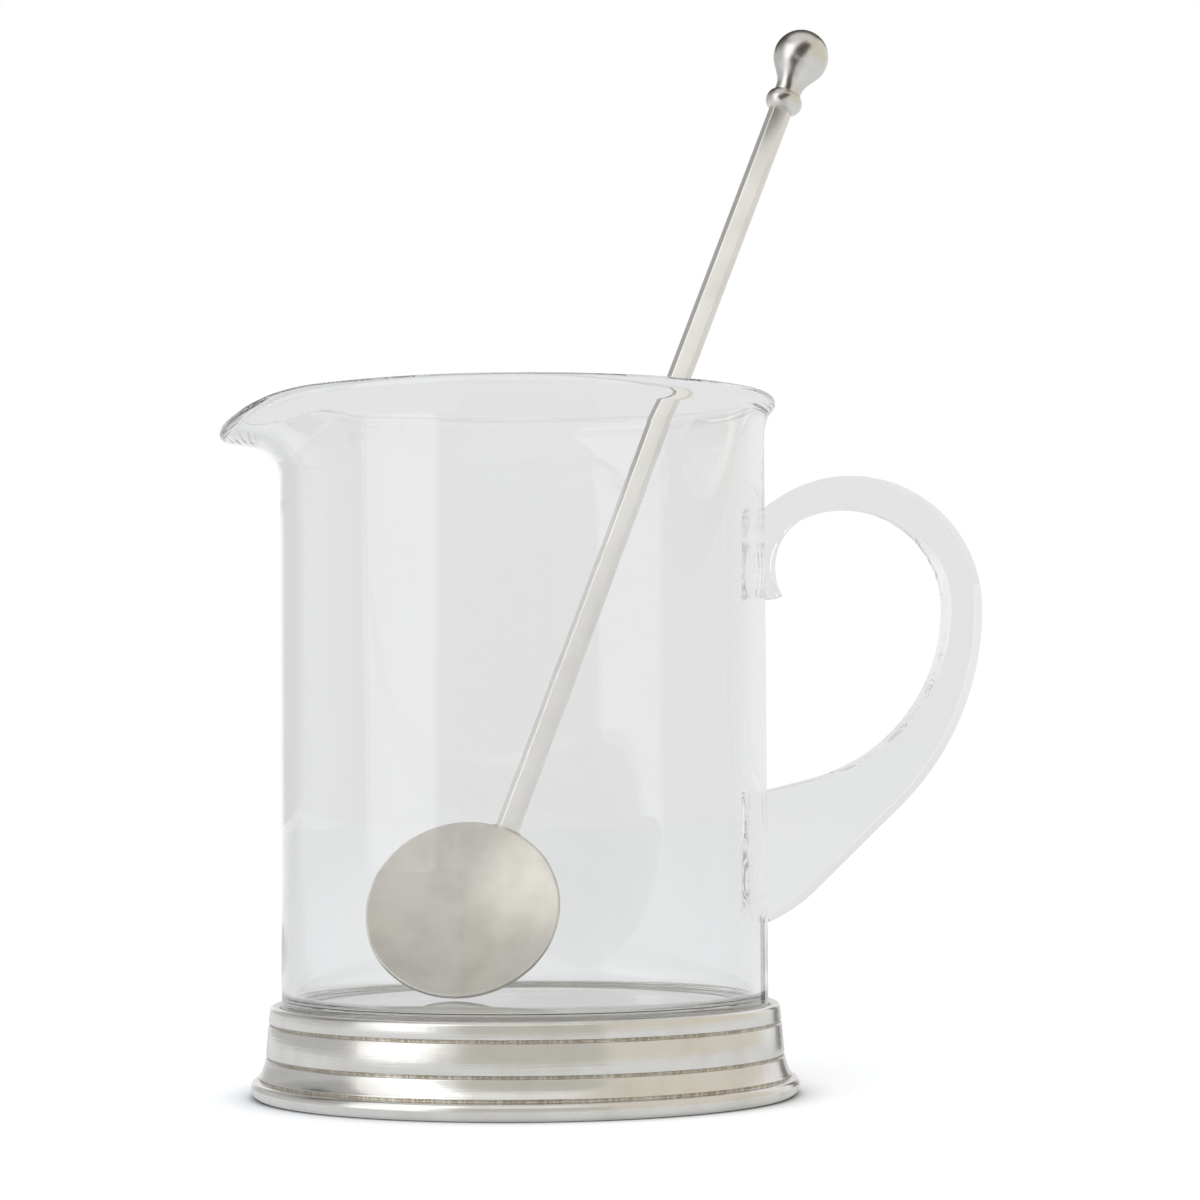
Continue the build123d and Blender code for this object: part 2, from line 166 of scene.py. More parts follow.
class SpoonSizes(bpy.types.PropertyGroup):
    """Stirring spoon and how it leans on the rim."""

    dish_radius: length("Dish radius", "Radius of the round bowl", 0.0218)
    dish_depth: length("Dish depth", "Depth of the bowl", 0.0046)
    dish_sheet: length("Dish sheet", "Thickness of the bowl", 0.0014)
    dish_crank: angle("Dish crank", "Angle between the bowl and the shaft", 19.8)
    boss_radius: length("Boss radius", "Radius of the boss behind the bowl's edge", 0.0033)
    boss_length: length("Boss length", "Length of the boss", 0.0090)
    setback: length("Setback", "Shaft's axis behind the bowl's edge", 0.0032)
    corners: length("Corners", "Shaft's width across its corners", 0.0055)
    flat: length("Flat", "Width of the shaft's broad flats", 0.0033)
    thickness: length("Thickness", "Shaft's thickness between its broad flats", 0.0038)
    shaft_turn: angle("Shaft turn", "How the bar's flats are turned from the bowl's face", 17.0)
    corner_edge: length("Corner edge", "Softening of the shaft's corners", 0.00025)
    shaft_length: length("Shaft length", "Length of the six-sided bar", 0.1789)
    tenon_radius: length("Tenon radius", "Radius of the tenons", 0.0016)
    tenon_length: length("Tenon length", "Length of the tenons", 0.0060)
    tenon_gap: length("Tenon gap", "Clearance round the tenons", 0.00005)
    collar_radius: length("Collar radius", "Radius of the bead collar", 0.0043)
    collar_end: length("Collar end", "Radius of the collar's lower end", 0.0030)
    collar_height: length("Collar height", "Height of the bead collar", 0.0046)
    neck_radius: length("Neck radius", "Radius of the neck", 0.0031)
    neck_length: length("Neck length", "Length of the neck", 0.0019)
    knob_radius: length("Knob radius", "Radius of the knob", 0.0064)
    knob_height: length("Knob height", "Height of the knob", 0.0138)
    knob_shoulder: angle("Knob shoulder", "Where the knob's round begins, below its middle", 32.0)
    lean_bearing: angle("Lean bearing", "Bearing where the shaft meets the rim", 46.2)
    low_point: FloatVectorProperty(
        name="Low point", description="Spot that the axis passes over, above the floor inside",
        default=(-0.0031, 0.0242, 0.0360), precision=5, unit="LENGTH"
    )
    turn: angle("Turn", "How the spoon is turned about its axis", -20.0)
    clearance: length("Clearance", "Gap between shaft and rim", 0.0003)
    steps: count("Steps", "Faces round the turned pieces", 128)


class Finishes(bpy.types.PropertyGroup):
    """Colours of the glass, the pewter and the bedding."""

    glass: tint("Glass", "Clear glass", (0.988, 0.992, 0.994, 1))
    pewter_light: tint("Pewter light", "Polished pewter", (0.80, 0.79, 0.765, 1))
    pewter_dark: tint("Pewter dark", "Duller patches of pewter", (0.72, 0.705, 0.67, 1))
    # The bowl's satin pewter has its two tones darkened below the other pewter: painted shade, for the
    # dimmer light inside the glass
    shaded_dish_light: tint("Dish light", "Satin pewter of the spoon's bowl", (0.65, 0.63, 0.575, 1))
    shaded_dish_dark: tint("Dish dark", "Duller patches of the spoon's bowl", (0.55, 0.53, 0.48, 1))
    # The shaft's brushed pewter has its two tones lighter than the other pewter: painted light, to brighten
    # its facets
    lit_bar_light: tint("Bar light", "Brushed pewter of the spoon's shaft", (0.89, 0.875, 0.85, 1))
    lit_bar_dark: tint("Bar dark", "Duller patches of the spoon's shaft", (0.83, 0.815, 0.78, 1))
    patina: tint("Patina", "Tarnish in the grooves", (0.40, 0.345, 0.26, 1))
    adhesive: tint("Adhesive", "Clear bedding", (0.86, 0.86, 0.82, 1))


class StageSettings(bpy.types.PropertyGroup):
    """Camera, lights and floor."""

    lens: number("Lens", "Focal length in millimetres", 103.92)
    sensor: number("Sensor", "Sensor width in millimetres", 36.0)
    azimuth: angle("Azimuth", "Turn of the camera about the vessel", -3.5)
    aside: length("Aside", "Camera to the right of the vessel's axis", 0.016645)
    distance: length("Distance", "Camera from the vessel's axis", 0.75194)
    height: length("Height", "Camera above the floor", 0.07493)
    pitch: angle("Pitch", "How far the camera looks up", 2.41)
    roll: angle("Roll", "How far the camera rolls", -0.34)
    light_path: count("Light path", "Most bounces of light, enough to pass down the glass wall", 160)
    floor_size: length("Floor size", "Half width of the floor", 2.5)
    floor: tint("Floor", "Pale floor", (0.84, 0.86, 0.90, 1))
    floor_white: number("Floor white", "How much paler the floor is to the camera", 1.73)
    contact: length("Contact", "Reach of the shade where the base stands on the floor", 0.009)
    floor_gloss_lift: number("Floor gloss lift", "White that metal adds to the floor it reflects", 0.15)
    floor_glass_lift: number("Floor glass lift", "White that glass adds to the floor behind it", 0.18)
    floor_far_lift: number("Floor far lift", "White that metal adds to the floor at the far left", 0.30)
    floor_dusk: number("Floor dusk", "Share of the lifts that is left at the far left", 0.3)
    backdrop: tint("Backdrop", "Studio walls behind and beside", (0.775, 0.775, 0.775, 1))
    sweep: tint("Sweep", "Bright edge of the backdrop on the left", (1.0, 1.0, 1.0, 1))
    shade: tint("Shade", "Dim wall high on the left", (0.42, 0.42, 0.41, 1))
    dusk: tint("Dusk", "Dim wall low on the left", (0.54, 0.54, 0.54, 1))
    glow: tint("Glow", "Bright wall behind on the right", (0.90, 0.90, 0.90, 1))
    fill: tint("Fill", "Warm card to the right", (0.74, 0.70, 0.61, 1))
    room: tint("Room", "Dim room behind the camera", (0.60, 0.585, 0.54, 1))
    bounce: tint("Bounce", "Pale card above the camera", (0.91, 0.905, 0.885, 1))
    ceiling: tint("Ceiling", "Studio overhead", (0.72, 0.71, 0.69, 1))
    gap: tint("Gap", "Dark gap beside the softbox", (0.07, 0.06, 0.05, 1))
    evenness: number("Evenness", "How far the studio seen through glass evens out to the backdrop", 0.75)
    key: number("Key", "Brightness of the softbox on the left", 0.75)
    key_turn: angle("Key turn", "Bearing of the softbox from straight in front", -62.0)
    key_reach: length("Key reach", "Distance of the softbox", 1.1)
    key_width: length("Key width", "Width of the softbox", 0.90)
    key_height: length("Key height", "Height of the softbox", 1.30)
    key_rise: length("Key rise", "Height of the softbox's middle above the floor", 0.56)
    pale_card: tint("Pale card", "Low card in front of the base", (0.58, 0.565, 0.52, 1))
    dark_card: tint("Dark card", "Dark cards beside the base and over the knob", (0.05, 0.04, 0.03, 1))


def arc(centre, radius, start, end, steps):
    """Points on an arc in the outline plane, from one angle to another in degrees, ends included."""
    points = []
    for index in range(steps + 1):
        turn = math.radians(start + (end - start) * index / steps)
        points.append((centre[0] + radius * math.cos(turn), centre[1] + radius * math.sin(turn)))
    return points


def line(start, end, steps):
    """Points between two points, both ends left out."""
    shares = [index / steps for index in range(1, steps)]
    return [tuple(a + (b - a) * share for a, b in zip(start, end)) for share in shares]


def tangent_arc(start, way, end, steps):
    """Points after start on the arc that leaves it along way and reaches end, end included."""
    start, way, end = Vector(start), Vector(way).normalized(), Vector(end)
    chord = end - start
    side = Vector((-way.y, way.x))
    radius = chord.length_squared / (2 * chord.dot(side))
    centre = start + side * radius
    first = math.degrees(math.atan2(start.y - centre.y, start.x - centre.x))
    sweep = 2 * math.degrees(math.atan2(chord.dot(side), chord.dot(way)))
    return arc(centre, abs(radius), first, first + sweep, steps)[1:]


def three_point_arc(start, middle, end, steps):
    """Points on the arc through three points, ends included."""
    (ax, az), (bx, bz), (cx, cz) = start, middle, end
    cross = 2 * (ax * (bz - cz) + bx * (cz - az) + cx * (az - bz))
    a, b, c = ax * ax + az * az, bx * bx + bz * bz, cx * cx + cz * cz
    x = (a * (bz - cz) + b * (cz - az) + c * (az - bz)) / cross
    z = (a * (cx - bx) + b * (ax - cx) + c * (bx - ax)) / cross
    turns = [math.degrees(math.atan2(p[1] - z, p[0] - x)) for p in (start, middle, end)]
    first, last = turns[0], turns[2]
    side = (turns[1] - first) % 360
    sweep = (last - first) % 360
    if side > sweep:
        sweep -= 360
    return arc((x, z), math.hypot(ax - x, az - z), first, first + sweep, steps)


def outline(points, closed=False):
    """A bmesh with one wire of points (x, z), each vertex numbered in its station layer."""
    wire = bmesh.new()
    station = wire.verts.layers.int.new("station")
    made = []
    for index, (x, z) in enumerate(points):
        vertex = wire.verts.new((x, 0, z))
        vertex[station] = index
        made.append(vertex)
    followers = made[1:] + made[:1] if closed else made[1:]
    for first, second in zip(made, followers):
        wire.edges.new((first, second))
    return wire


def turned(points, steps, closed=False):
    """A solid of revolution about the Z axis."""
    solid = outline(points, closed)
    geometry = solid.verts[:] + solid.edges[:]
    bmesh.ops.spin(
        solid, geom=geometry, cent=(0, 0, 0), axis=(0, 0, 1), dvec=(0, 0, 0),
        angle=2 * math.pi, steps=steps, use_merge=True, use_normal_flip=False, use_duplicate=False,
    )
    bmesh.ops.remove_doubles(solid, verts=solid.verts[:], dist=MERGE)
    bmesh.ops.recalc_face_normals(solid, faces=solid.faces[:])
    return solid


def soften(solid, width, segments, sharper_than):
    """Bevels the edges that turn more sharply than an angle in degrees."""
    limit = math.radians(sharper_than)
    edges = [edge for edge in solid.edges if edge.is_manifold and edge.calc_face_angle() > limit]
    bmesh.ops.bevel(
        solid, geom=edges, offset=width, offset_type="OFFSET", segments=segments, profile=0.5,
        affect="EDGES", clamp_overlap=True, material=-1,
    )


def linked(name, data):
    """A new object in the scene."""
    made = bpy.data.objects.new(name, data)
    bpy.context.scene.collection.objects.link(made)
    return made


def meshed(solid, name):
    """A new object in the scene with the mesh of a bmesh, which is freed."""
    mesh = bpy.data.meshes.new(name)
    solid.to_mesh(mesh)
    solid.free()
    return linked(name, mesh)


def settled(made):
    """The bmesh of an object with its modifiers applied; the object is removed."""
    graph = bpy.context.evaluated_depsgraph_get()
    solid = bmesh.new()
    solid.from_object(made, graph)
    mesh = made.data
    bpy.data.objects.remove(made)
    bpy.data.meshes.remove(mesh)
    return solid


def combined(first, second, operation):
    """Boolean of two closed solids."""
    kept, tool = meshed(first, "kept"), meshed(second, "tool")
    boolean = kept.modifiers.new("combine", "BOOLEAN")
    boolean.solver = "MANIFOLD"
    boolean.operation = operation
    boolean.object = tool
    solid = settled(kept)
    mesh = tool.data
    bpy.data.objects.remove(tool)
    bpy.data.meshes.remove(mesh)
    if not solid.faces:
        raise RuntimeError("a boolean left nothing")
    return solid


def piece(solid, name, material, body, nodes, place=None, crease=32.0):
    """Finishes a bmesh as a piece of the object that stands for CAD nodes and moves with a body."""
    if place is not None:
        bmesh.ops.transform(solid, matrix=place, verts=solid.verts[:])
    made = meshed(solid, name)
    made.data.shade_smooth()
    made.data.set_sharp_from_angle(angle=math.radians(crease))
    made.data.materials.append(material)
    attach(made, body)
    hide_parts(*nodes)
    return made


# Faces along the curves of the vessel's outline
WALL_STEPS = 5
BEND_STEPS = 10
LEAN_STEPS = 3
LIP_STEPS = 16
HEEL_STEPS = 8
CORNER_STEPS = 14


def lip_outline(sizes, share):
    """The wall above the band's start, bent outwards: share 0 is the plain rim, 1 the spout's middle."""
    turn = sizes.rim_angle + (sizes.spout_angle - sizes.rim_angle) * share
    bend = sizes.rim_bend + (sizes.spout_bend - sizes.rim_bend) * share
    reach = sizes.rim_reach + (sizes.spout_reach - sizes.rim_reach) * share
    half = sizes.wall / 2
    middle = sizes.radius - half
    top = GLASS_HIGH[2] - half - sizes.spout_drop * share**2
    run = (reach - bend * (1 - math.cos(turn))) / math.sin(turn)
    pivot = (middle + bend, top - bend * math.sin(turn) - run * math.cos(turn))
    along = (run * math.sin(turn), run * math.cos(turn))
    swell = sizes.rim_swell
    outward = (math.cos(turn), -math.sin(turn))
    tip = (middle + reach + swell * outward[0], top + swell * outward[1])
    degrees = math.degrees(turn)
    start = GLASS_HIGH[2] - sizes.lip_band
    outside, inside = (sizes.radius, start), (sizes.radius - sizes.wall, start)
    under = arc(pivot, bend - half, 180, 180 - degrees, BEND_STEPS)
    over = arc(pivot, bend + half, 180 - degrees, 180, BEND_STEPS)
    under_end = (
        under[-1][0] + along[0] + 2 * swell * outward[0], under[-1][1] + along[1] + 2 * swell * outward[1]
    )
    over_start = (over[0][0] + along[0], over[0][1] + along[1])
    points = [outside] + line(outside, under[0], WALL_STEPS) + under
    points += line(under[-1], under_end, LEAN_STEPS)
    points += arc(tip, half + swell, -degrees, 180 - degrees, LIP_STEPS)
    points += line(over_start, over[0], LEAN_STEPS) + over
    points += line(over[-1], inside, WALL_STEPS) + [inside]
    return points


def blown_vessel(sizes):
    """Heavy floor, straight wall, rim and the spout that is pulled out of it."""
    bottom = GLASS_LOW[2]
    inside = sizes.radius - sizes.wall
    heel = (sizes.radius - sizes.heel, bottom + sizes.heel)
    corner = (inside - sizes.inside_corner, sizes.inside_floor + sizes.inside_corner)
    below = [(0, bottom), (heel[0] / 2, bottom)] + arc(heel, sizes.heel, -90, 0, HEEL_STEPS)
    lip = lip_outline(sizes, 0)
    rest = arc(corner, sizes.inside_corner, 0, -90, CORNER_STEPS)
    rest += [(corner[0] / 2, sizes.inside_floor), (0, sizes.inside_floor)]
    solid = turned(below + lip + rest, sizes.steps)
    station = solid.verts.layers.int["station"]
    for vertex in solid.verts:
        rank = vertex[station] - len(below)
        across = math.atan2(vertex.co.y, -vertex.co.x) / sizes.spout_half_span
        if 0 <= rank < len(lip) and abs(across) < 1:
            out, up = lip_outline(sizes, math.cos(math.pi / 2 * across) ** 2)[rank]
            flat = Vector((vertex.co.x, vertex.co.y, 0)).normalized()
            vertex.co = flat * out + Vector((0, 0, up))
    return solid


# Faces along the curves of the strap's side view, many because glass shows every one
CROWN_STEPS = 150
BACK_STEPS = 100
RUN_STEPS = 40
BACK_INNER_STEPS = 110
CROWN_INNER_STEPS = 120
STRAP_EDGE_STEPS = 7


def strap_outline(sizes, radius):
    """Side view of the handle as points (x, z): crown, back, foot, and the hooked tail under the crown."""
    loop = (radius + sizes.loop_out, sizes.loop_height)
    root = radius - sizes.root_depth
    crown_turn = math.degrees(math.acos((root - loop[0]) / sizes.loop_outer))
    outer_turn = math.degrees(sizes.back_outer_turn)
    inner_turn = math.degrees(sizes.back_inner_turn)
    tail_turn = math.degrees(sizes.tail_turn)
    outer_pivot = (loop[0] + sizes.loop_outer - sizes.back_outer, sizes.loop_height)
    inner_pivot = (loop[0] + sizes.loop_inner - sizes.back_inner, sizes.loop_height)
    points = arc(loop, sizes.loop_outer, crown_turn, 0, CROWN_STEPS)
    points += arc(outer_pivot, sizes.back_outer, 0, -outer_turn, BACK_STEPS)[1:]
    low = points[-1]
    way = (-math.sin(sizes.back_outer_turn), -math.cos(sizes.back_outer_turn))
    run = (low[0] - radius - sizes.foot_curve_out) / -way[0]
    foot = (low[0] + way[0] * run, low[1] + way[1] * run)
    points += line(low, foot, RUN_STEPS) + [foot]
    points += tangent_arc(foot, way, (root, sizes.foot_height), RUN_STEPS)
    inner = arc(inner_pivot, sizes.back_inner, -inner_turn, 0, BACK_INNER_STEPS)
    rise = math.tan(math.pi / 2 - sizes.back_inner_turn)
    shelf = (root, inner[0][1] - (inner[0][0] - root) * rise)
    points += [shelf] + line(shelf, inner[0], RUN_STEPS) + inner
    points += arc(loop, sizes.loop_inner, 0, tail_turn, CROWN_INNER_STEPS)[1:]
    tail_start = len(points)
    way = (-math.sin(sizes.tail_turn), math.cos(sizes.tail_turn))
    tip = (radius + sizes.tail_out, sizes.tail_height)
    points += tangent_arc(points[-1], way, tip, RUN_STEPS)
    points.append((root, sizes.tail_height - sizes.tail_end))
    return points, tail_start


def glass_strap(sizes, radius):
    """The handle's strap, tapered from foot to crown and softened as melted glass is."""
    points, tail_start = strap_outline(sizes, radius)
    solid = outline(points, closed=True)
    face = bmesh.ops.contextual_create(solid, geom=solid.edges[:])["faces"]
    pushed = bmesh.ops.extrude_face_region(solid, geom=face)["geom"]
    far = [item for item in pushed if isinstance(item, bmesh.types.BMVert)]
    bmesh.ops.translate(solid, verts=far, vec=(0, 1, 0))
    low, high = sizes.foot_height, sizes.loop_height + sizes.loop_outer
    for vertex in solid.verts:
        share = (vertex.co.z - low) / (high - low)
        width = sizes.foot_width + (sizes.top_width - sizes.foot_width) * share
        vertex.co.y = (vertex.co.y - 0.5) * width
    bmesh.ops.recalc_face_normals(solid, faces=solid.faces[:])
    station = solid.verts.layers.int["station"]
    rounding = solid.edges.layers.float.new("bevel_weight_edge")
    for edge in solid.edges:
        first, second = edge.verts
        if first.co.y * second.co.y > 0:
            along = (min(first[station], second[station]) - tail_start) / (len(points) - tail_start)
            swell = math.sin(math.pi * along) if 0 < along < 1 else 0
            edge[rounding] = (sizes.edge + (sizes.tail_edge - sizes.edge) * swell) / sizes.tail_edge
    rough = meshed(solid, "rough_strap")
    bevel = rough.modifiers.new("melted edges", "BEVEL")
    bevel.limit_method = "WEIGHT"
    bevel.width = sizes.tail_edge
    bevel.segments = STRAP_EDGE_STEPS
    return settled(rough)


def node(tree, kind, inputs=None, **settings):
    """Adds a node; each input takes a value or the socket that feeds it."""
    made = tree.nodes.new(kind)
    for key, value in settings.items():
        setattr(made, key, value)
    for key, value in (inputs or {}).items():
        if isinstance(value, bpy.types.NodeSocket):
            tree.links.new(value, made.inputs[key])
        else:
            made.inputs[key].default_value = value
    return made


def calculate(tree, operation, first, second=0.0):
    """Result of a Math node."""
    return node(tree, "ShaderNodeMath", {0: first, 1: second}, operation=operation).outputs[0]


def blended(tree, factor, first, second):
    """Colour between two colours."""
    inputs = {"Factor_Float": factor, "A_Color": first, "B_Color": second}
    mix = node(tree, "ShaderNodeMix", data_type="RGBA")
    for socket in mix.inputs:
        value = inputs.get(socket.identifier)
        if isinstance(value, bpy.types.NodeSocket):
            tree.links.new(value, socket)
        elif value is not None:
            socket.default_value = value
    return next(socket for socket in mix.outputs if socket.type == "RGBA")


def weighted(tree, *terms):
    """Sum of values, each times its weight."""
    total = None
    for value, weight in terms:
        part = calculate(tree, "MULTIPLY", value, weight)
        total = part if total is None else calculate(tree, "ADD", total, part)
    return total


def scaled(tree, place, factors):
    """A place stretched along each axis."""
    return node(tree, "ShaderNodeMapping", {"Vector": place, "Scale": factors}).outputs[0]


def along_axes(tree, place):
    """A place's X, Y and Z."""
    return node(tree, "ShaderNodeSeparateXYZ", {0: place}).outputs


def from_axis(tree, split):
    """Distance from the Z axis of a place split into X, Y and Z."""
    flat = node(tree, "ShaderNodeCombineXYZ", {"X": split["X"], "Y": split["Y"]}).outputs[0]
    return node(tree, "ShaderNodeVectorMath", {0: flat}, operation="LENGTH").outputs["Value"]


def ramped(tree, value, low, high, out_low, out_high):
    """A value mapped smoothly from one range to another."""
    inputs = {"Value": value, "From Min": low, "From Max": high, "To Min": out_low, "To Max": out_high}
    return node(tree, "ShaderNodeMapRange", inputs, interpolation_type="SMOOTHSTEP").outputs["Result"]


def noise(tree, place, scale, detail=2.0, roughness=0.5):
    """Noise between 0 and 1 at a place."""
    inputs = {"Vector": place, "Scale": scale, "Detail": detail, "Roughness": roughness}
    return node(tree, "ShaderNodeTexNoise", inputs).outputs["Fac"]


def cells(tree, place, scale):
    """Distance to the nearest of many scattered points."""
    return node(tree, "ShaderNodeTexVoronoi", {"Vector": place, "Scale": scale}).outputs["Distance"]


def bumped(tree, height, strength, distance, **below):
    """Normal that a height gives, over the Normal below it where one is given."""
    inputs = {"Height": height, "Strength": strength, "Distance": distance, **below}
    return node(tree, "ShaderNodeBump", inputs).outputs[0]


def new_group(name, inputs, outputs):
    """An empty shader node group with its named sockets, and its two end nodes."""
    group = bpy.data.node_groups.new(name, "ShaderNodeTree")
    for label, kind in inputs:
        group.interface.new_socket(label, in_out="INPUT", socket_type=kind)
    for label, kind in outputs:
        group.interface.new_socket(label, in_out="OUTPUT", socket_type=kind)
    return group, group.nodes.new("NodeGroupInput"), group.nodes.new("NodeGroupOutput")


def turning_marks_group():
    """Fine rings that a lathe and the polishing wheel leave round the Z axis."""
    name = "Turning Marks"
    if name in bpy.data.node_groups:
        return bpy.data.node_groups[name]
    group, start, end = new_group(
        name,
        [("Vector", "NodeSocketVector")],
        [("Height", "NodeSocketFloat"), ("Wander", "NodeSocketFloat")],
    )
    split = along_axes(group, start.outputs["Vector"])
    turned_place = node(group, "ShaderNodeCombineXYZ", {
        "X": calculate(group, "ARCTAN2", split["Y"], split["X"]),
        "Y": split["Z"],
        "Z": from_axis(group, split),
    }).outputs[0]
    rings = scaled(group, turned_place, (1.3, 1500, 1500))
    wander = scaled(group, turned_place, (9, 60, 0))
    group.links.new(noise(group, rings, scale=1.6, detail=3.0, roughness=0.6), end.inputs["Height"])
    group.links.new(noise(group, wander, scale=1.0, detail=3.0), end.inputs["Wander"])
    return group


def pewter_tone_group():
    """Clouded tone, roughness and small knocks of hand-finished pewter."""
    name = "Pewter Tone"
    if name in bpy.data.node_groups:
        return bpy.data.node_groups[name]
    group, start, end = new_group(
        name,
        [("Vector", "NodeSocketVector"), ("Light", "NodeSocketColor"), ("Dark", "NodeSocketColor"),
         ("Smooth", "NodeSocketFloat"), ("Dull", "NodeSocketFloat")],
        [("Color", "NodeSocketColor"), ("Roughness", "NodeSocketFloat"), ("Height", "NodeSocketFloat")],
    )
    place = start.outputs["Vector"]
    clouds = noise(group, place, scale=90.0, detail=4.0, roughness=0.6)
    cloud = ramped(group, clouds, 0.35, 0.75, 0.0, 1.0)
    fine = noise(group, place, scale=900.0, detail=3.0, roughness=0.65)
    colour = blended(group, cloud, start.outputs["Light"], start.outputs["Dark"])
    rough = node(group, "ShaderNodeMapRange", {
        "Value": weighted(group, (cloud, 0.6), (fine, 0.4)),
        "To Min": start.outputs["Smooth"],
        "To Max": start.outputs["Dull"],
    }).outputs["Result"]
    knocks = ramped(group, cells(group, place, scale=170.0), 0.0, 0.16, 0.0, 1.0)
    swell = noise(group, place, scale=55.0, detail=1.0)
    height = weighted(group, (knocks, 0.12), (swell, 0.8), (fine, 0.05))
    group.links.new(colour, end.inputs["Color"])
    group.links.new(rough, end.inputs["Roughness"])
    group.links.new(height, end.inputs["Height"])
    return group


def new_material(name):
    """An empty material with its tree and its output's surface socket."""
    material = bpy.data.materials.new(name)
    material.use_nodes = True
    tree = material.node_tree
    tree.nodes.clear()
    return material, tree, node(tree, "ShaderNodeOutputMaterial").inputs["Surface"]


def object_place(tree):
    """Place on the piece in the shared frame."""
    return node(tree, "ShaderNodeTexCoord").outputs["Object"]


# The ripples fade out above the inside floor, below the rim and off the wall's outside
RIPPLE_START = (0.004, 0.014)
RIPPLE_END = (0.024, 0.010)
RIPPLE_OUT = 0.001


def clear_glass(finishes, vessel):
    """Blown glass: faint ripples down the wall, slow swells and a few seeds."""
    material, tree, surface = new_material("clear_glass")
    place = object_place(tree)
    ripple = noise(tree, scaled(tree, place, (1, 1, 0.12)), scale=130.0)
    swell = noise(tree, place, scale=28.0, detail=1.0)
    seeds = ramped(tree, cells(tree, place, scale=120.0), 0.0, 0.05, 1.0, 0.0)
    height = weighted(tree, (ripple, 0.10), (swell, 0.8), (seeds, 0.02))
    split = along_axes(tree, place)
    floor, rim, wall = vessel.inside_floor, GLASS_HIGH[2], vessel.radius
    for fade in (
        ramped(tree, split["Z"], floor + RIPPLE_START[0], floor + RIPPLE_START[1], 0.0, 1.0),
        ramped(tree, split["Z"], rim - RIPPLE_END[0], rim - RIPPLE_END[1], 1.0, 0.0),
        ramped(tree, from_axis(tree, split), wall, wall + RIPPLE_OUT, 1.0, 0.0),
    ):
        height = calculate(tree, "MULTIPLY", height, fade)
    glass = node(tree, "ShaderNodeBsdfPrincipled", {
        "Base Color": finishes.glass,
        "Roughness": 0.0,
        "IOR": 1.5,
        "Transmission Weight": 1.0,
        "Normal": bumped(tree, height, 0.5, 0.0003),
    }).outputs[0]
    passing = node(tree, "ShaderNodeBsdfTransparent", {"Color": (0.93, 0.93, 0.93, 1)}).outputs[0]
    lamp = node(tree, "ShaderNodeLightPath").outputs["Is Shadow Ray"]
    mix = node(tree, "ShaderNodeMixShader", {0: lamp, 1: glass, 2: passing}).outputs[0]
    tree.links.new(mix, surface)
    return material


def pewter(name, tones, place, marks, smooth, dull, marks_height, tarnish=None):
    """Pewter of a light and a dark tone with tool marks and, under a mask, a third tone of tarnish."""
    material, tree, surface = new_material(name)
    where = place(tree)
    inputs = {"Vector": where, "Light": tones[0], "Dark": tones[1], "Smooth": smooth, "Dull": dull}
    tone = node(tree, "ShaderNodeGroup", inputs, node_tree=pewter_tone_group())
    lines, wander = marks(tree, where)
    colour, rough = tone.outputs["Color"], tone.outputs["Roughness"]
    if tarnish is not None:
        mask = tarnish(tree, where, wander)
        colour = blended(tree, mask, colour, tones[2])
        rough = calculate(tree, "ADD", rough, calculate(tree, "MULTIPLY", mask, 0.35))
    knocked = bumped(tree, tone.outputs["Height"], 0.35, 0.0002)
    metal = node(tree, "ShaderNodeBsdfPrincipled", {
        "Base Color": colour,
        "Metallic": 1.0,
        "Roughness": rough,
        "Normal": bumped(tree, lines, 0.5, marks_height, Normal=knocked),
    }).outputs[0]
    tree.links.new(metal, surface)
    return material


def lathe_marks(tree, where):
    """Rings round the axis, and their slow wandering."""
    marks = node(tree, "ShaderNodeGroup", {"Vector": where}, node_tree=turning_marks_group())
    return marks.outputs["Height"], marks.outputs["Wander"]


def drawn_marks(tree, where):
    """Fine scratches along the spoon's axis, and their slow wandering."""
    along = scaled(tree, where, (2600, 2600, 45))
    slow = scaled(tree, where, (120, 120, 40))
    return noise(tree, along, scale=1.0, detail=3.0, roughness=0.6), noise(tree, slow, scale=1.0)


def groove_tarnish(heights, width):
    """Mask of the tarnish that sits in turned grooves, uneven along them."""
    def mask(tree, where, wander):
        up = along_axes(tree, where)["Z"]
        reach = calculate(tree, "MULTIPLY", wander, width * 2)
        specks = ramped(tree, noise(tree, where, scale=1400.0), 0.36, 0.60, 0.45, 1.0)
        total = None
        for height in heights:
            away = calculate(tree, "ABSOLUTE", calculate(tree, "SUBTRACT", up, height))
            band = ramped(tree, calculate(tree, "DIVIDE", away, reach), 0.35, 1.0, 1.0, 0.0)
            total = band if total is None else calculate(tree, "MAXIMUM", total, band)
        return calculate(tree, "MULTIPLY", total, specks)
    return mask


def settings():
    """The scene, which carries every group of sizes and finishes."""
    return bpy.context.scene


class PITCHER_OT_glass_vessel(bpy.types.Operator):
    """Blow the vessel, melt the strap handle onto it and finish the glass"""

    bl_idname = "pitcher.glass_vessel"
    bl_label = "Glass Vessel"

    def execute(self, context):
        sizes, handle = settings().pitcher_vessel, settings().pitcher_handle
        strap = glass_strap(handle, sizes.radius)
        core, height = sizes.radius - handle.sink, GLASS_HIGH[2]
        inside = turned([(0, 0), (core, 0), (core, height), (0, height)], sizes.steps)
        strap = combined(strap, inside, "DIFFERENCE")
        vessel = combined(blown_vessel(sizes), strap, "UNION")
        glass = clear_glass(settings().pitcher_finishes, sizes)
        nodes = ("glass_body", "glass_handle")
        made = piece(vessel, "glass_vessel", glass, "pitcher", nodes, crease=30.0)
        even = made.modifiers.new("even normals", "WEIGHTED_NORMAL")
        even.keep_sharp = True
        return {"FINISHED"}


# Faces along the curves of the base's outline
GROOVE_STEPS = 6
BEAD_STEPS = 16
FLARE_STEPS = 12
BASE_LIP_STEPS = 8
# How far tarnish reaches from a groove's middle, as a share of the groove's width
TARNISH_SHARE = 0.45
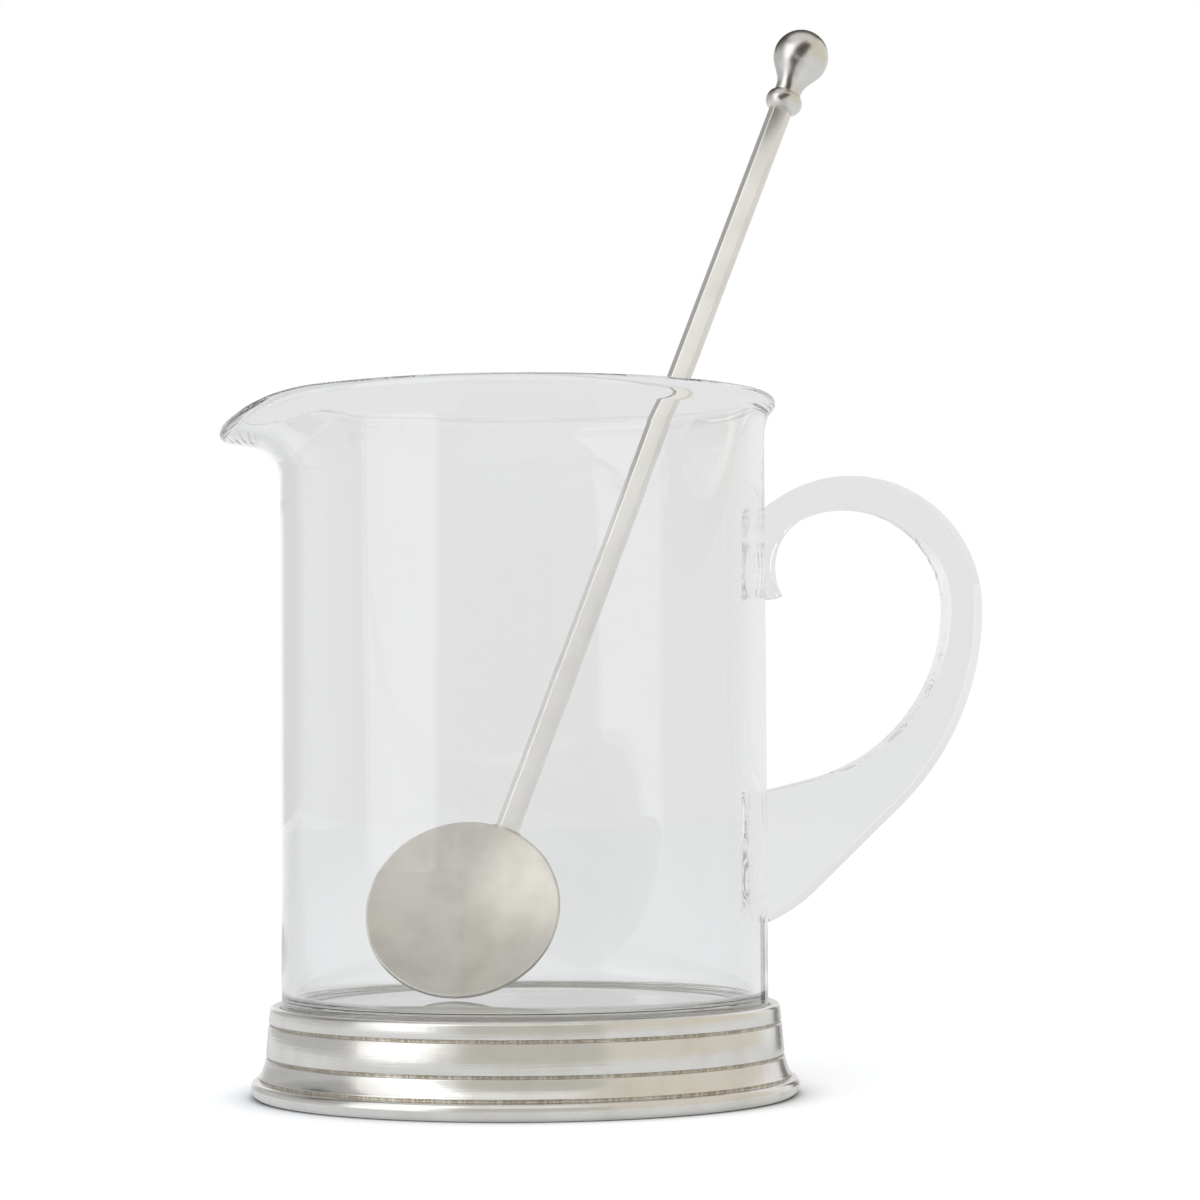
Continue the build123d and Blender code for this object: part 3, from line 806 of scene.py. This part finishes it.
# Radii of the plate's rings, as shares of its own
PLATE_RINGS = (0.18, 0.52, 0.86)


def ledge_radius(sizes):
    """Inside of the ledge that the glass stands on, and of the bedding on it."""
    return BASE_HIGH[0] - sizes.bead - sizes.flare - sizes.taper - sizes.wall - sizes.seat_width


class PITCHER_OT_pewter_base(bpy.types.Operator):
    """Turn the pewter base with its lip, grooves, flare and bead foot"""

    bl_idname = "pitcher.pewter_base"
    bl_label = "Pewter Base"

    def execute(self, context):
        sizes, finishes = settings().pitcher_base, settings().pitcher_finishes
        bead = BASE_HIGH[0]
        flare = bead - sizes.bead
        band = flare - sizes.flare
        top = band - sizes.taper
        bore = top - sizes.wall
        height, seat = BASE_HIGH[2], BEDDING_LOW[2]
        ledge = ledge_radius(sizes)
        foot = bead - sizes.foot_round
        plate, plate_top, plate_low = PLATE_HIGH[0], PLATE_HIGH[2], PLATE_LOW[2]
        lip_groove = height - sizes.lip_height
        slope = sizes.taper / (height - sizes.flare_top)
        half = sizes.groove_width / 2

        def groove(radius, level):
            turns = arc((radius + half - sizes.groove_depth, level), half, 270, 90, GROOVE_STEPS)
            return turns[1:-1]

        swell = (bead, sizes.bead_top / 2)
        bead_arc = three_point_arc((foot, 0), swell, (flare, sizes.bead_top), BEAD_STEPS)
        hollow = (band + sizes.flare * sizes.flare_hollow, (sizes.bead_top + sizes.flare_top) / 2)
        flare_arc = three_point_arc((flare, sizes.bead_top), hollow, (band, sizes.flare_top), FLARE_STEPS)
        lip = sizes.lip_rounding
        points = [(foot - sizes.foot_flat, 0)]
        points += [p for p in bead_arc if p[1] < sizes.bead_top - half] + groove(flare, sizes.bead_top)
        points += [p for p in flare_arc if sizes.bead_top + half < p[1] < sizes.flare_top - half]
        points += groove(band, sizes.flare_top)
        points += [(band - slope * half, sizes.flare_top + half)]
        points += [(top + slope * (sizes.lip_height + half), lip_groove - half)]
        points += groove(top + slope * sizes.lip_height, lip_groove)
        points += [(top + slope * (sizes.lip_height - half), lip_groove + half)]
        points += arc((top - lip, height - lip), lip, 0, 90, BASE_LIP_STEPS)
        points += arc((bore + lip, height - lip), lip, 90, 180, BASE_LIP_STEPS)
        points += [(bore, seat), (ledge, seat), (ledge, plate_top), (plate, plate_top), (plate, plate_low)]
        base = turned(points, sizes.steps, closed=True)
        soften(base, sizes.edge, segments=2, sharper_than=24.0)
        grooves = (sizes.bead_top, sizes.flare_top, lip_groove)
        metal = pewter(
            "turned_pewter", (finishes.pewter_light, finishes.pewter_dark, finishes.patina), object_place,
            lathe_marks, smooth=0.14, dull=0.28, marks_height=0.00005,
            tarnish=groove_tarnish(grooves, sizes.groove_width * TARNISH_SHARE),
        )
        piece(base, "pewter_base", metal, "pitcher", ("pewter_base",))
        return {"FINISHED"}


class PITCHER_OT_base_plate(bpy.types.Operator):
    """Turn the disc that closes the underside of the base"""

    bl_idname = "pitcher.base_plate"
    bl_label = "Base Plate"

    def execute(self, context):
        sizes, finishes = settings().pitcher_base, settings().pitcher_finishes
        radius, low, high = PLATE_HIGH[0], PLATE_LOW[2], PLATE_HIGH[2]
        half, depth = sizes.groove_width / 2, sizes.groove_depth
        points = [(0, low)]
        for share in PLATE_RINGS:
            ring = radius * share
            points += [(ring - half, low), (ring, low + depth), (ring + half, low)]
        points += [(radius, low), (radius, high), (0, high)]
        plate = turned(points, sizes.steps)
        soften(plate, sizes.edge, segments=2, sharper_than=60.0)
        metal = pewter(
            "plate_pewter", (finishes.pewter_light, finishes.pewter_dark), object_place,
            lathe_marks, smooth=0.26, dull=0.44, marks_height=0.00004,
        )
        piece(plate, "base_plate", metal, "pitcher", ("base_plate",))
        return {"FINISHED"}


class PITCHER_OT_bedding_ring(bpy.types.Operator):
    """Lay the thin clear ring that beds the glass in the base"""

    bl_idname = "pitcher.bedding_ring"
    bl_label = "Bedding Ring"

    def execute(self, context):
        sizes, finishes = settings().pitcher_base, settings().pitcher_finishes
        outer, low, high = BEDDING_HIGH[0], BEDDING_LOW[2], BEDDING_HIGH[2]
        inner = ledge_radius(sizes)
        ring = turned([(inner, low), (outer, low), (outer, high), (inner, high)], sizes.steps, closed=True)
        soften(ring, sizes.edge, segments=2, sharper_than=60.0)
        material, tree, surface = new_material("clear_adhesive")
        cloud = noise(tree, object_place(tree), scale=240.0, detail=3.0)
        gel = node(tree, "ShaderNodeBsdfPrincipled", {
            "Base Color": finishes.adhesive,
            "Roughness": ramped(tree, cloud, 0.3, 0.7, 0.25, 0.45),
            "Normal": bumped(tree, cloud, 0.4, 0.0001),
        }).outputs[0]
        tree.links.new(gel, surface)
        piece(ring, "bedding_ring", material, "pitcher", ("bedding_ring",))
        return {"FINISHED"}


# Faces along the curves of the spoon's outlines
DISH_STEPS = 20
BOSS_STEPS = 12
COLLAR_STEPS = 16
SWELL_STEPS = 12
KNOB_STEPS = 28
# Rounding of the dish's edge, as a share of the sheet
DISH_EDGE_SHARE = 0.45


def shaft_corners(sizes):
    """Corners of the shaft's six-sided section, wider than it is thick, in the spoon's own frame."""
    half, flat, thick = sizes.corners / 2, sizes.flat / 2, sizes.thickness / 2
    square = [(half, 0), (flat, thick), (-flat, thick), (-half, 0), (-flat, -thick), (flat, -thick)]
    return [Matrix.Rotation(sizes.shaft_turn, 3, "Z") @ Vector((x, y, 0)) for x, y in square]


def spoon_pose(sizes, vessel):
    """Where the spoon's own frame lies before it is let down: leaning on the rim, turned about its axis."""
    half = vessel.wall / 2
    rim_inner = vessel.radius - half + vessel.rim_reach - half * math.cos(vessel.rim_angle)
    rim_height = GLASS_HIGH[2] - half + half * math.sin(vessel.rim_angle)
    low = Vector(sizes.low_point) + Vector((0, 0, vessel.inside_floor))
    outward = Vector((math.cos(sizes.lean_bearing), math.sin(sizes.lean_bearing), 0))
    rise = Vector((0, 0, rim_height))
    steep = (outward * rim_inner + rise - low).normalized()
    facing_rim = Matrix.Rotation(sizes.lean_bearing - sizes.turn, 3, "Z") @ Vector((1, 0, 0))
    shaft_reach = max(corner.dot(facing_rim) for corner in shaft_corners(sizes))
    beside = (shaft_reach + sizes.clearance) / steep.z
    way = (outward * (rim_inner - beside) + rise - low).normalized()
    across = Vector((way.z, 0, -way.x)).normalized()
    basis = Matrix((across, way.cross(across), way)).transposed().to_4x4()
    return Matrix.Translation(low) @ basis @ Matrix.Rotation(sizes.turn, 4, "Z")


def spoon_bowl_solid(sizes):
    """Round dished bowl with the boss behind its edge, in the spoon's own frame."""
    radius, depth, sheet = sizes.dish_radius, sizes.dish_depth, sizes.dish_sheet
    ball = (radius**2 + depth**2) / (2 * depth)
    spread = math.degrees(math.asin(radius / ball))
    back = math.degrees(math.asin(radius / (ball + sheet)))
    centre = (0, ball - depth)
    hollow = arc(centre, ball, -90, spread - 90, DISH_STEPS)
    dish = turned(hollow + arc(centre, ball + sheet, back - 90, -90, DISH_STEPS), sizes.steps)
    soften(dish, sheet * DISH_EDGE_SHARE, segments=4, sharper_than=40.0)
    crank = sizes.dish_crank
    middle = Vector((0, -sizes.setback - radius * math.sin(crank), -radius * math.cos(crank)))
    normal = Vector((0, -math.cos(crank), math.sin(crank)))
    side = Vector((1, 0, 0))
    place = Matrix.Translation(middle) @ Matrix((side, normal.cross(side), normal)).transposed().to_4x4()
    bmesh.ops.transform(dish, matrix=place, verts=dish.verts[:])
    socket = sizes.tenon_radius + sizes.tenon_gap
    bore = sizes.tenon_length + sizes.tenon_gap
    round_end = arc((0, -sizes.boss_length), sizes.boss_radius, 0, -90, BOSS_STEPS)
    boss = turned(
        [(0, -bore), (socket, -bore), (socket, 0), (sizes.boss_radius, 0)] + round_end, sizes.steps
    )
    front = turned(hollow + [(2 * radius, 0), (2 * radius, ball), (0, ball)], sizes.steps)
    bmesh.ops.transform(front, matrix=place, verts=front.verts[:])
    boss = combined(boss, front, "DIFFERENCE")
    return combined(dish, boss, "UNION")


def spoon_shaft_solid(sizes):
    """Six-sided bar with soft corners and a round tenon at each end, in the spoon's own frame."""
    bar = bmesh.new()
    bar.faces.new([bar.verts.new(corner) for corner in shaft_corners(sizes)])
    pushed = bmesh.ops.extrude_face_region(bar, geom=bar.faces[:])["geom"]
    upper = [item for item in pushed if isinstance(item, bmesh.types.BMVert)]
    bmesh.ops.translate(bar, verts=upper, vec=(0, 0, sizes.shaft_length))
    bmesh.ops.recalc_face_normals(bar, faces=bar.faces[:])
    long_edges = [edge for edge in bar.edges if edge.calc_length() > sizes.corners]
    bmesh.ops.bevel(
        bar, geom=long_edges, offset=sizes.corner_edge, offset_type="OFFSET", segments=3, profile=0.5,
        affect="EDGES", clamp_overlap=True, material=-1,
    )
    caps = [face for face in bar.faces if abs(face.normal.z) > 0.9]
    for cap in caps:
        way = 1 if cap.normal.z > 0 else -1
        bmesh.ops.inset_region(bar, faces=[cap], thickness=sizes.corner_edge)
        for vertex in cap.verts:
            flat = Vector((vertex.co.x, vertex.co.y, 0)).normalized() * sizes.tenon_radius
            vertex.co = (flat.x, flat.y, vertex.co.z)
        tenon = bmesh.ops.extrude_discrete_faces(bar, faces=[cap])["faces"][0]
        bmesh.ops.translate(bar, verts=tenon.verts[:], vec=(0, 0, way * sizes.tenon_length))
    bmesh.ops.recalc_face_normals(bar, faces=bar.faces[:])
    return bar


def spoon_finial_solid(sizes):
    """Bead collar, neck and pear-shaped knob, bored for the tenon, in the spoon's own frame."""
    bead = three_point_arc(
        (sizes.collar_end, 0), (sizes.collar_radius, sizes.collar_height / 2),
        (sizes.neck_radius, sizes.collar_height), COLLAR_STEPS
    )
    neck_end = Vector((sizes.neck_radius, sizes.collar_height + sizes.neck_length / 2))
    top = sizes.collar_height + sizes.neck_length + sizes.knob_height
    middle = (0, top - sizes.knob_radius)
    shoulder = math.degrees(sizes.knob_shoulder)
    knob = arc(middle, sizes.knob_radius, -shoulder, 90, KNOB_STEPS)
    knob_start = Vector(knob[0])
    reach = (knob_start - neck_end).length / 3
    way = Vector((math.sin(sizes.knob_shoulder), math.cos(sizes.knob_shoulder)))
    handles = (neck_end, neck_end + Vector((0, reach)), knob_start - way * reach, knob_start)
    swell = []
    for index in range(SWELL_STEPS + 1):
        share = index / SWELL_STEPS
        weights = ((1 - share) ** 3, 3 * share * (1 - share) ** 2, 3 * share**2 * (1 - share), share**3)
        point = sum((spot * weight for spot, weight in zip(handles, weights)), Vector((0, 0)))
        swell.append((point.x, point.y))
    socket = sizes.tenon_radius + sizes.tenon_gap
    bore = sizes.tenon_length + sizes.tenon_gap
    points = [(0, bore), (socket, bore), (socket, 0)] + bead + swell + knob[1:]
    finial = turned(points, sizes.steps)
    bmesh.ops.translate(finial, verts=finial.verts[:], vec=(0, 0, sizes.shaft_length))
    return finial


class PITCHER_OT_spoon(bpy.types.Operator):
    """Make the stirring spoon's bowl, shaft and finial and lean them on the rim"""

    bl_idname = "pitcher.spoon"
    bl_label = "Stirring Spoon"

    def execute(self, context):
        sizes, finishes = settings().pitcher_spoon, settings().pitcher_finishes
        pose = spoon_pose(sizes, settings().pitcher_vessel)
        bowl = spoon_bowl_solid(sizes)
        lowest = min((pose @ vertex.co).z for vertex in bowl.verts)
        way = pose.to_3x3() @ Vector((0, 0, 1))
        pose = Matrix.Translation(way * ((BOWL_LOW[2] - lowest) / way.z)) @ pose
        back = pose.inverted()

        def spoon_place(tree):
            return node(tree, "ShaderNodeMapping", {
                "Vector": object_place(tree), "Rotation": back.to_euler(), "Location": back.to_translation()
            }).outputs[0]

        turned_metal = pewter(
            "spoon_turned_pewter", (finishes.pewter_light, finishes.pewter_dark), spoon_place,
            lathe_marks, smooth=0.26, dull=0.38, marks_height=0.00002,
        )
        # The shaft's tones are lightened as painted light; its brushed scratches and roughness are its own
        lit_drawn_metal = pewter(
            "spoon_drawn_pewter_painted_light", (finishes.lit_bar_light, finishes.lit_bar_dark), spoon_place,
            drawn_marks, smooth=0.36, dull=0.46, marks_height=0.00003,
        )
        # The bowl's tones are darkened as painted shade; its satin roughness is its own
        shaded_dish_metal = pewter(
            "spoon_dish_pewter_painted_shade", (finishes.shaded_dish_light, finishes.shaded_dish_dark), spoon_place,
            drawn_marks, smooth=0.34, dull=0.48, marks_height=0.00003,
        )
        shaft, finial = spoon_shaft_solid(sizes), spoon_finial_solid(sizes)
        piece(bowl, "spoon_bowl", shaded_dish_metal, "spoon", ("spoon_bowl",), pose)
        piece(shaft, "spoon_shaft", lit_drawn_metal, "spoon", ("spoon_shaft",), pose, crease=20.0)
        piece(finial, "spoon_finial", turned_metal, "spoon", ("spoon_finial",), pose)
        return {"FINISHED"}


# Bearings from straight behind the vessel, in degrees, between which the floor's lifts fade
DUSK_EDGE = (-24, -14)
STRIP_EDGE = (-6, 4)
# Shares of the floor's half width between which its far strip comes in
FAR_EDGE = (0.12, 0.5)

# Cards that polished metal mirrors: name, tone, width and height, place, axis and degrees of the turn
KNOB_CARDS = (
    ("cap_card", "dark_card", (0.12, 0.07), (0.0, 0.05, 0.055), ("X", 45)),
    ("knob_card", "dark_card", (0.024, 0.05), (0.004, -0.028, 0.021), ("Y", 40)),
    ("neck_card", "dark_card", (0.012, 0.012), (-0.0105, -0.015, -0.0032), ("Y", 35)),
)
BASE_CARDS = (
    ("base_card", "dark_card", (0.018, 0.05), (0.102, 0.073, 0.025), ("Z", -30)),
    ("front_card", "pale_card", (0.22, 0.13), (0.0, -0.20, 0.065), ("Z", 0)),
)


def flat_sheet(name, size, place):
    """A flat piece of the stage, given by its width and depth before it is placed."""
    sheet = bmesh.new()
    bmesh.ops.create_grid(sheet, x_segments=1, y_segments=1, size=0.5)
    bmesh.ops.scale(sheet, vec=(*size, 1), verts=sheet.verts[:])
    bmesh.ops.transform(sheet, matrix=place, verts=sheet.verts[:])
    made = meshed(sheet, name)
    return made


def lay_floor(stage):
    """Pale floor that keeps the shadow and is white to the camera, with painted contact shade near the
    base, and pale in metal and through glass.
    """
    across = 2 * stage.floor_size
    floor = flat_sheet("floor", (across, across), Matrix())
    material, tree, surface = new_material("pale_floor")
    path = node(tree, "ShaderNodeLightPath").outputs
    # Painted contact shade: ambient occlusion darkens the floor's colour to the camera near the base
    white = (*[share * stage.floor_white for share in stage.floor[:3]], 1)
    contact = {"Color": white, "Distance": stage.contact}
    shaded = node(tree, "ShaderNodeAmbientOcclusion", contact).outputs["Color"]
    colour = blended(tree, path["Is Camera Ray"], stage.floor, shaded)
    matte = node(tree, "ShaderNodeBsdfDiffuse", {"Color": colour}).outputs[0]
    split = along_axes(tree, object_place(tree))
    back = calculate(tree, "ARCTAN2", split["X"], split["Y"])
    right = ramped(tree, back, *map(math.radians, DUSK_EDGE), stage.floor_dusk, 1.0)
    left = ramped(tree, back, *map(math.radians, STRIP_EDGE), 1.0, 0.0)
    start, end = [stage.floor_size * share for share in FAR_EDGE]
    far = ramped(tree, split["Y"], start, end, 0.0, stage.floor_far_lift)
    strip = calculate(tree, "MULTIPLY", calculate(tree, "MULTIPLY", far, left), right)
    mirrored = calculate(tree, "ADD", strip, stage.floor_gloss_lift)
    through = calculate(tree, "MULTIPLY", right, stage.floor_glass_lift)
    mirror = calculate(tree, "GREATER_THAN", path["Is Glossy Ray"], path["Is Transmission Ray"])
    lift = weighted(tree, (mirror, mirrored), (path["Is Transmission Ray"], through))
    glow = node(tree, "ShaderNodeEmission", {"Strength": lift}).outputs[0]
    both = node(tree, "ShaderNodeAddShader", {0: matte, 1: glow}).outputs[0]
    tree.links.new(both, surface)
    floor.data.materials.append(material)


def paint_studio(stage):
    """Pale walls, a warm card, a dim room and a dark gap, evened out through glass; white to the camera."""
    world = bpy.data.worlds.new("studio")
    world.use_nodes = True
    tree = world.node_tree
    tree.nodes.clear()
    way = node(tree, "ShaderNodeTexCoord").outputs["Generated"]
    split = along_axes(tree, way)
    rise = calculate(tree, "ARCSINE", split["Z"])
    front = calculate(tree, "ARCTAN2", split["X"], calculate(tree, "MULTIPLY", split["Y"], -1.0))
    back = calculate(tree, "ARCTAN2", split["X"], split["Y"])

    def between(value, low, high, soft):
        """1 where an angle lies between two others, in degrees, with soft ends."""
        low, high, soft = math.radians(low), math.radians(high), math.radians(soft)
        enter = ramped(tree, value, low - soft / 2, low + soft / 2, 0.0, 1.0)
        leave = ramped(tree, value, high - soft / 2, high + soft / 2, 1.0, 0.0)
        return calculate(tree, "MULTIPLY", enter, leave)

    def patch(bearing, sides, levels, soft):
        """Mask of a patch of the studio between two bearings and two levels."""
        return calculate(tree, "MULTIPLY", between(bearing, *sides, soft), between(rise, *levels, soft))

    # Bearing from behind or in front, sides, levels and softness of the edges in degrees, and tone
    colour = stage.backdrop
    for bearing, sides, levels, soft, tone in (
        (back, (14, 60), (-95, 40), 8, stage.glow),
        (back, (-110, -18), (14, 62), 10, stage.shade),
        (back, (-110, -18), (-95, 14), 10, stage.dusk),
        (back, (-17, -6), (-95, 20), 6, stage.sweep),
        (front, (14, 128), (-95, 62), 16, stage.fill),
        (front, (-40, 14), (-95, 5), 12, stage.room),
        (front, (-40, 30), (5, 62), 12, stage.bounce),
        (front, (-126, -110), (28, 56), 10, stage.gap),
    ):
        colour = blended(tree, patch(bearing, sides, levels, soft), colour, tone)
    colour = blended(tree, between(rise, 62, 200, 14), colour, stage.ceiling)
    path = node(tree, "ShaderNodeLightPath").outputs
    even = calculate(tree, "MULTIPLY", path["Is Transmission Ray"], stage.evenness)
    colour = blended(tree, even, colour, stage.backdrop)
    colour = blended(tree, path["Is Camera Ray"], colour, (1, 1, 1, 1))
    light = node(tree, "ShaderNodeBackground", {"Color": colour}).outputs[0]
    node(tree, "ShaderNodeOutputWorld", {"Surface": light})
    settings().world = world


def hang_softbox(stage):
    """Large softbox in front and to the left."""
    lamp = bpy.data.lights.new("key_softbox", "AREA")
    lamp.shape = "RECTANGLE"
    lamp.size = stage.key_width
    lamp.size_y = stage.key_height
    lamp.energy = math.pi * stage.key_width * stage.key_height * stage.key
    made = linked("key_softbox", lamp)
    out, turn = stage.key_reach, stage.key_turn
    made.location = (out * math.sin(turn), -out * math.cos(turn), stage.key_rise)
    made.rotation_euler = (-made.location).to_track_quat("-Z", "Y").to_euler()
    made.visible_camera = False


def stand_cards(stage, cards, origin):
    """Small cards round an origin, upright before they are turned, seen only in polished metal."""
    upright = Matrix.Rotation(math.pi / 2, 4, "X")
    for name, tone, size, spot, (axis, degrees) in cards:
        turn = Matrix.Rotation(math.radians(degrees), 4, axis)
        card = flat_sheet(name, size, Matrix.Translation(origin + Vector(spot)) @ turn @ upright)
        material, tree, surface = new_material(name)
        colour = getattr(stage, tone)
        tree.links.new(node(tree, "ShaderNodeEmission", {"Color": colour}).outputs[0], surface)
        card.data.materials.append(material)
        card.visible_camera = False
        card.visible_diffuse = False
        card.visible_transmission = False
        card.visible_shadow = False


def place_camera(stage):
    """Camera at the photograph's viewing angle."""
    camera = bpy.data.cameras.new("camera")
    camera.lens = stage.lens
    camera.sensor_width = stage.sensor
    made = linked("camera", camera)
    turn = Matrix.Rotation(stage.azimuth, 4, "Z")
    spot = Matrix.Translation((stage.aside, -stage.distance, stage.height))
    tilt = Matrix.Rotation(math.pi / 2 + stage.pitch, 4, "X") @ Matrix.Rotation(stage.roll, 4, "Z")
    made.matrix_world = turn @ spot @ tilt
    settings().camera = made


class PITCHER_OT_stage(bpy.types.Operator):
    """Set the floor, the studio, the softbox, the cards and the camera"""

    bl_idname = "pitcher.stage"
    bl_label = "Stage"

    def execute(self, context):
        stage = settings().pitcher_stage
        lay_floor(stage)
        paint_studio(stage)
        hang_softbox(stage)
        stand_cards(stage, KNOB_CARDS, (Vector(FINIAL_LOW) + Vector(FINIAL_HIGH)) / 2)
        stand_cards(stage, BASE_CARDS, Vector((0, 0, 0)))
        place_camera(stage)
        settings().view_settings.view_transform = "Standard"
        paths = settings().cycles
        paths.max_bounces = paths.glossy_bounces = paths.transmission_bounces = stage.light_path
        return {"FINISHED"}


OPERATORS = (
    PITCHER_OT_glass_vessel,
    PITCHER_OT_pewter_base,
    PITCHER_OT_base_plate,
    PITCHER_OT_bedding_ring,
    PITCHER_OT_spoon,
    PITCHER_OT_stage,
)
GROUPS = {
    "pitcher_vessel": VesselSizes,
    "pitcher_handle": HandleSizes,
    "pitcher_base": BaseSizes,
    "pitcher_spoon": SpoonSizes,
    "pitcher_finishes": Finishes,
    "pitcher_stage": StageSettings,
}


class PITCHER_PT_panel(bpy.types.Panel):
    """Lists the steps that make the pitcher"""

    bl_idname = "PITCHER_PT_panel"
    bl_label = "Cocktail Pitcher"
    bl_space_type = "VIEW_3D"
    bl_region_type = "UI"
    bl_category = "Pitcher"

    def draw(self, context):
        for operator in OPERATORS:
            self.layout.operator(operator.bl_idname)


def register():
    """Adds the groups of sizes, the operators and the panel."""
    for group in GROUPS.values():
        bpy.utils.register_class(group)
    for name, group in GROUPS.items():
        setattr(bpy.types.Scene, name, PointerProperty(type=group))
    for operator in OPERATORS:
        bpy.utils.register_class(operator)
    bpy.utils.register_class(PITCHER_PT_panel)


def unregister():
    """Takes them away again."""
    bpy.utils.unregister_class(PITCHER_PT_panel)
    for operator in reversed(OPERATORS):
        bpy.utils.unregister_class(operator)
    for name, group in GROUPS.items():
        delattr(bpy.types.Scene, name)
        bpy.utils.unregister_class(group)


def main():
    """Makes the pitcher and its stage."""
    register()
    bpy.ops.pitcher.glass_vessel()
    bpy.ops.pitcher.pewter_base()
    bpy.ops.pitcher.base_plate()
    bpy.ops.pitcher.bedding_ring()
    bpy.ops.pitcher.spoon()
    bpy.ops.pitcher.stage()


if __name__ == "__main__":
    main()
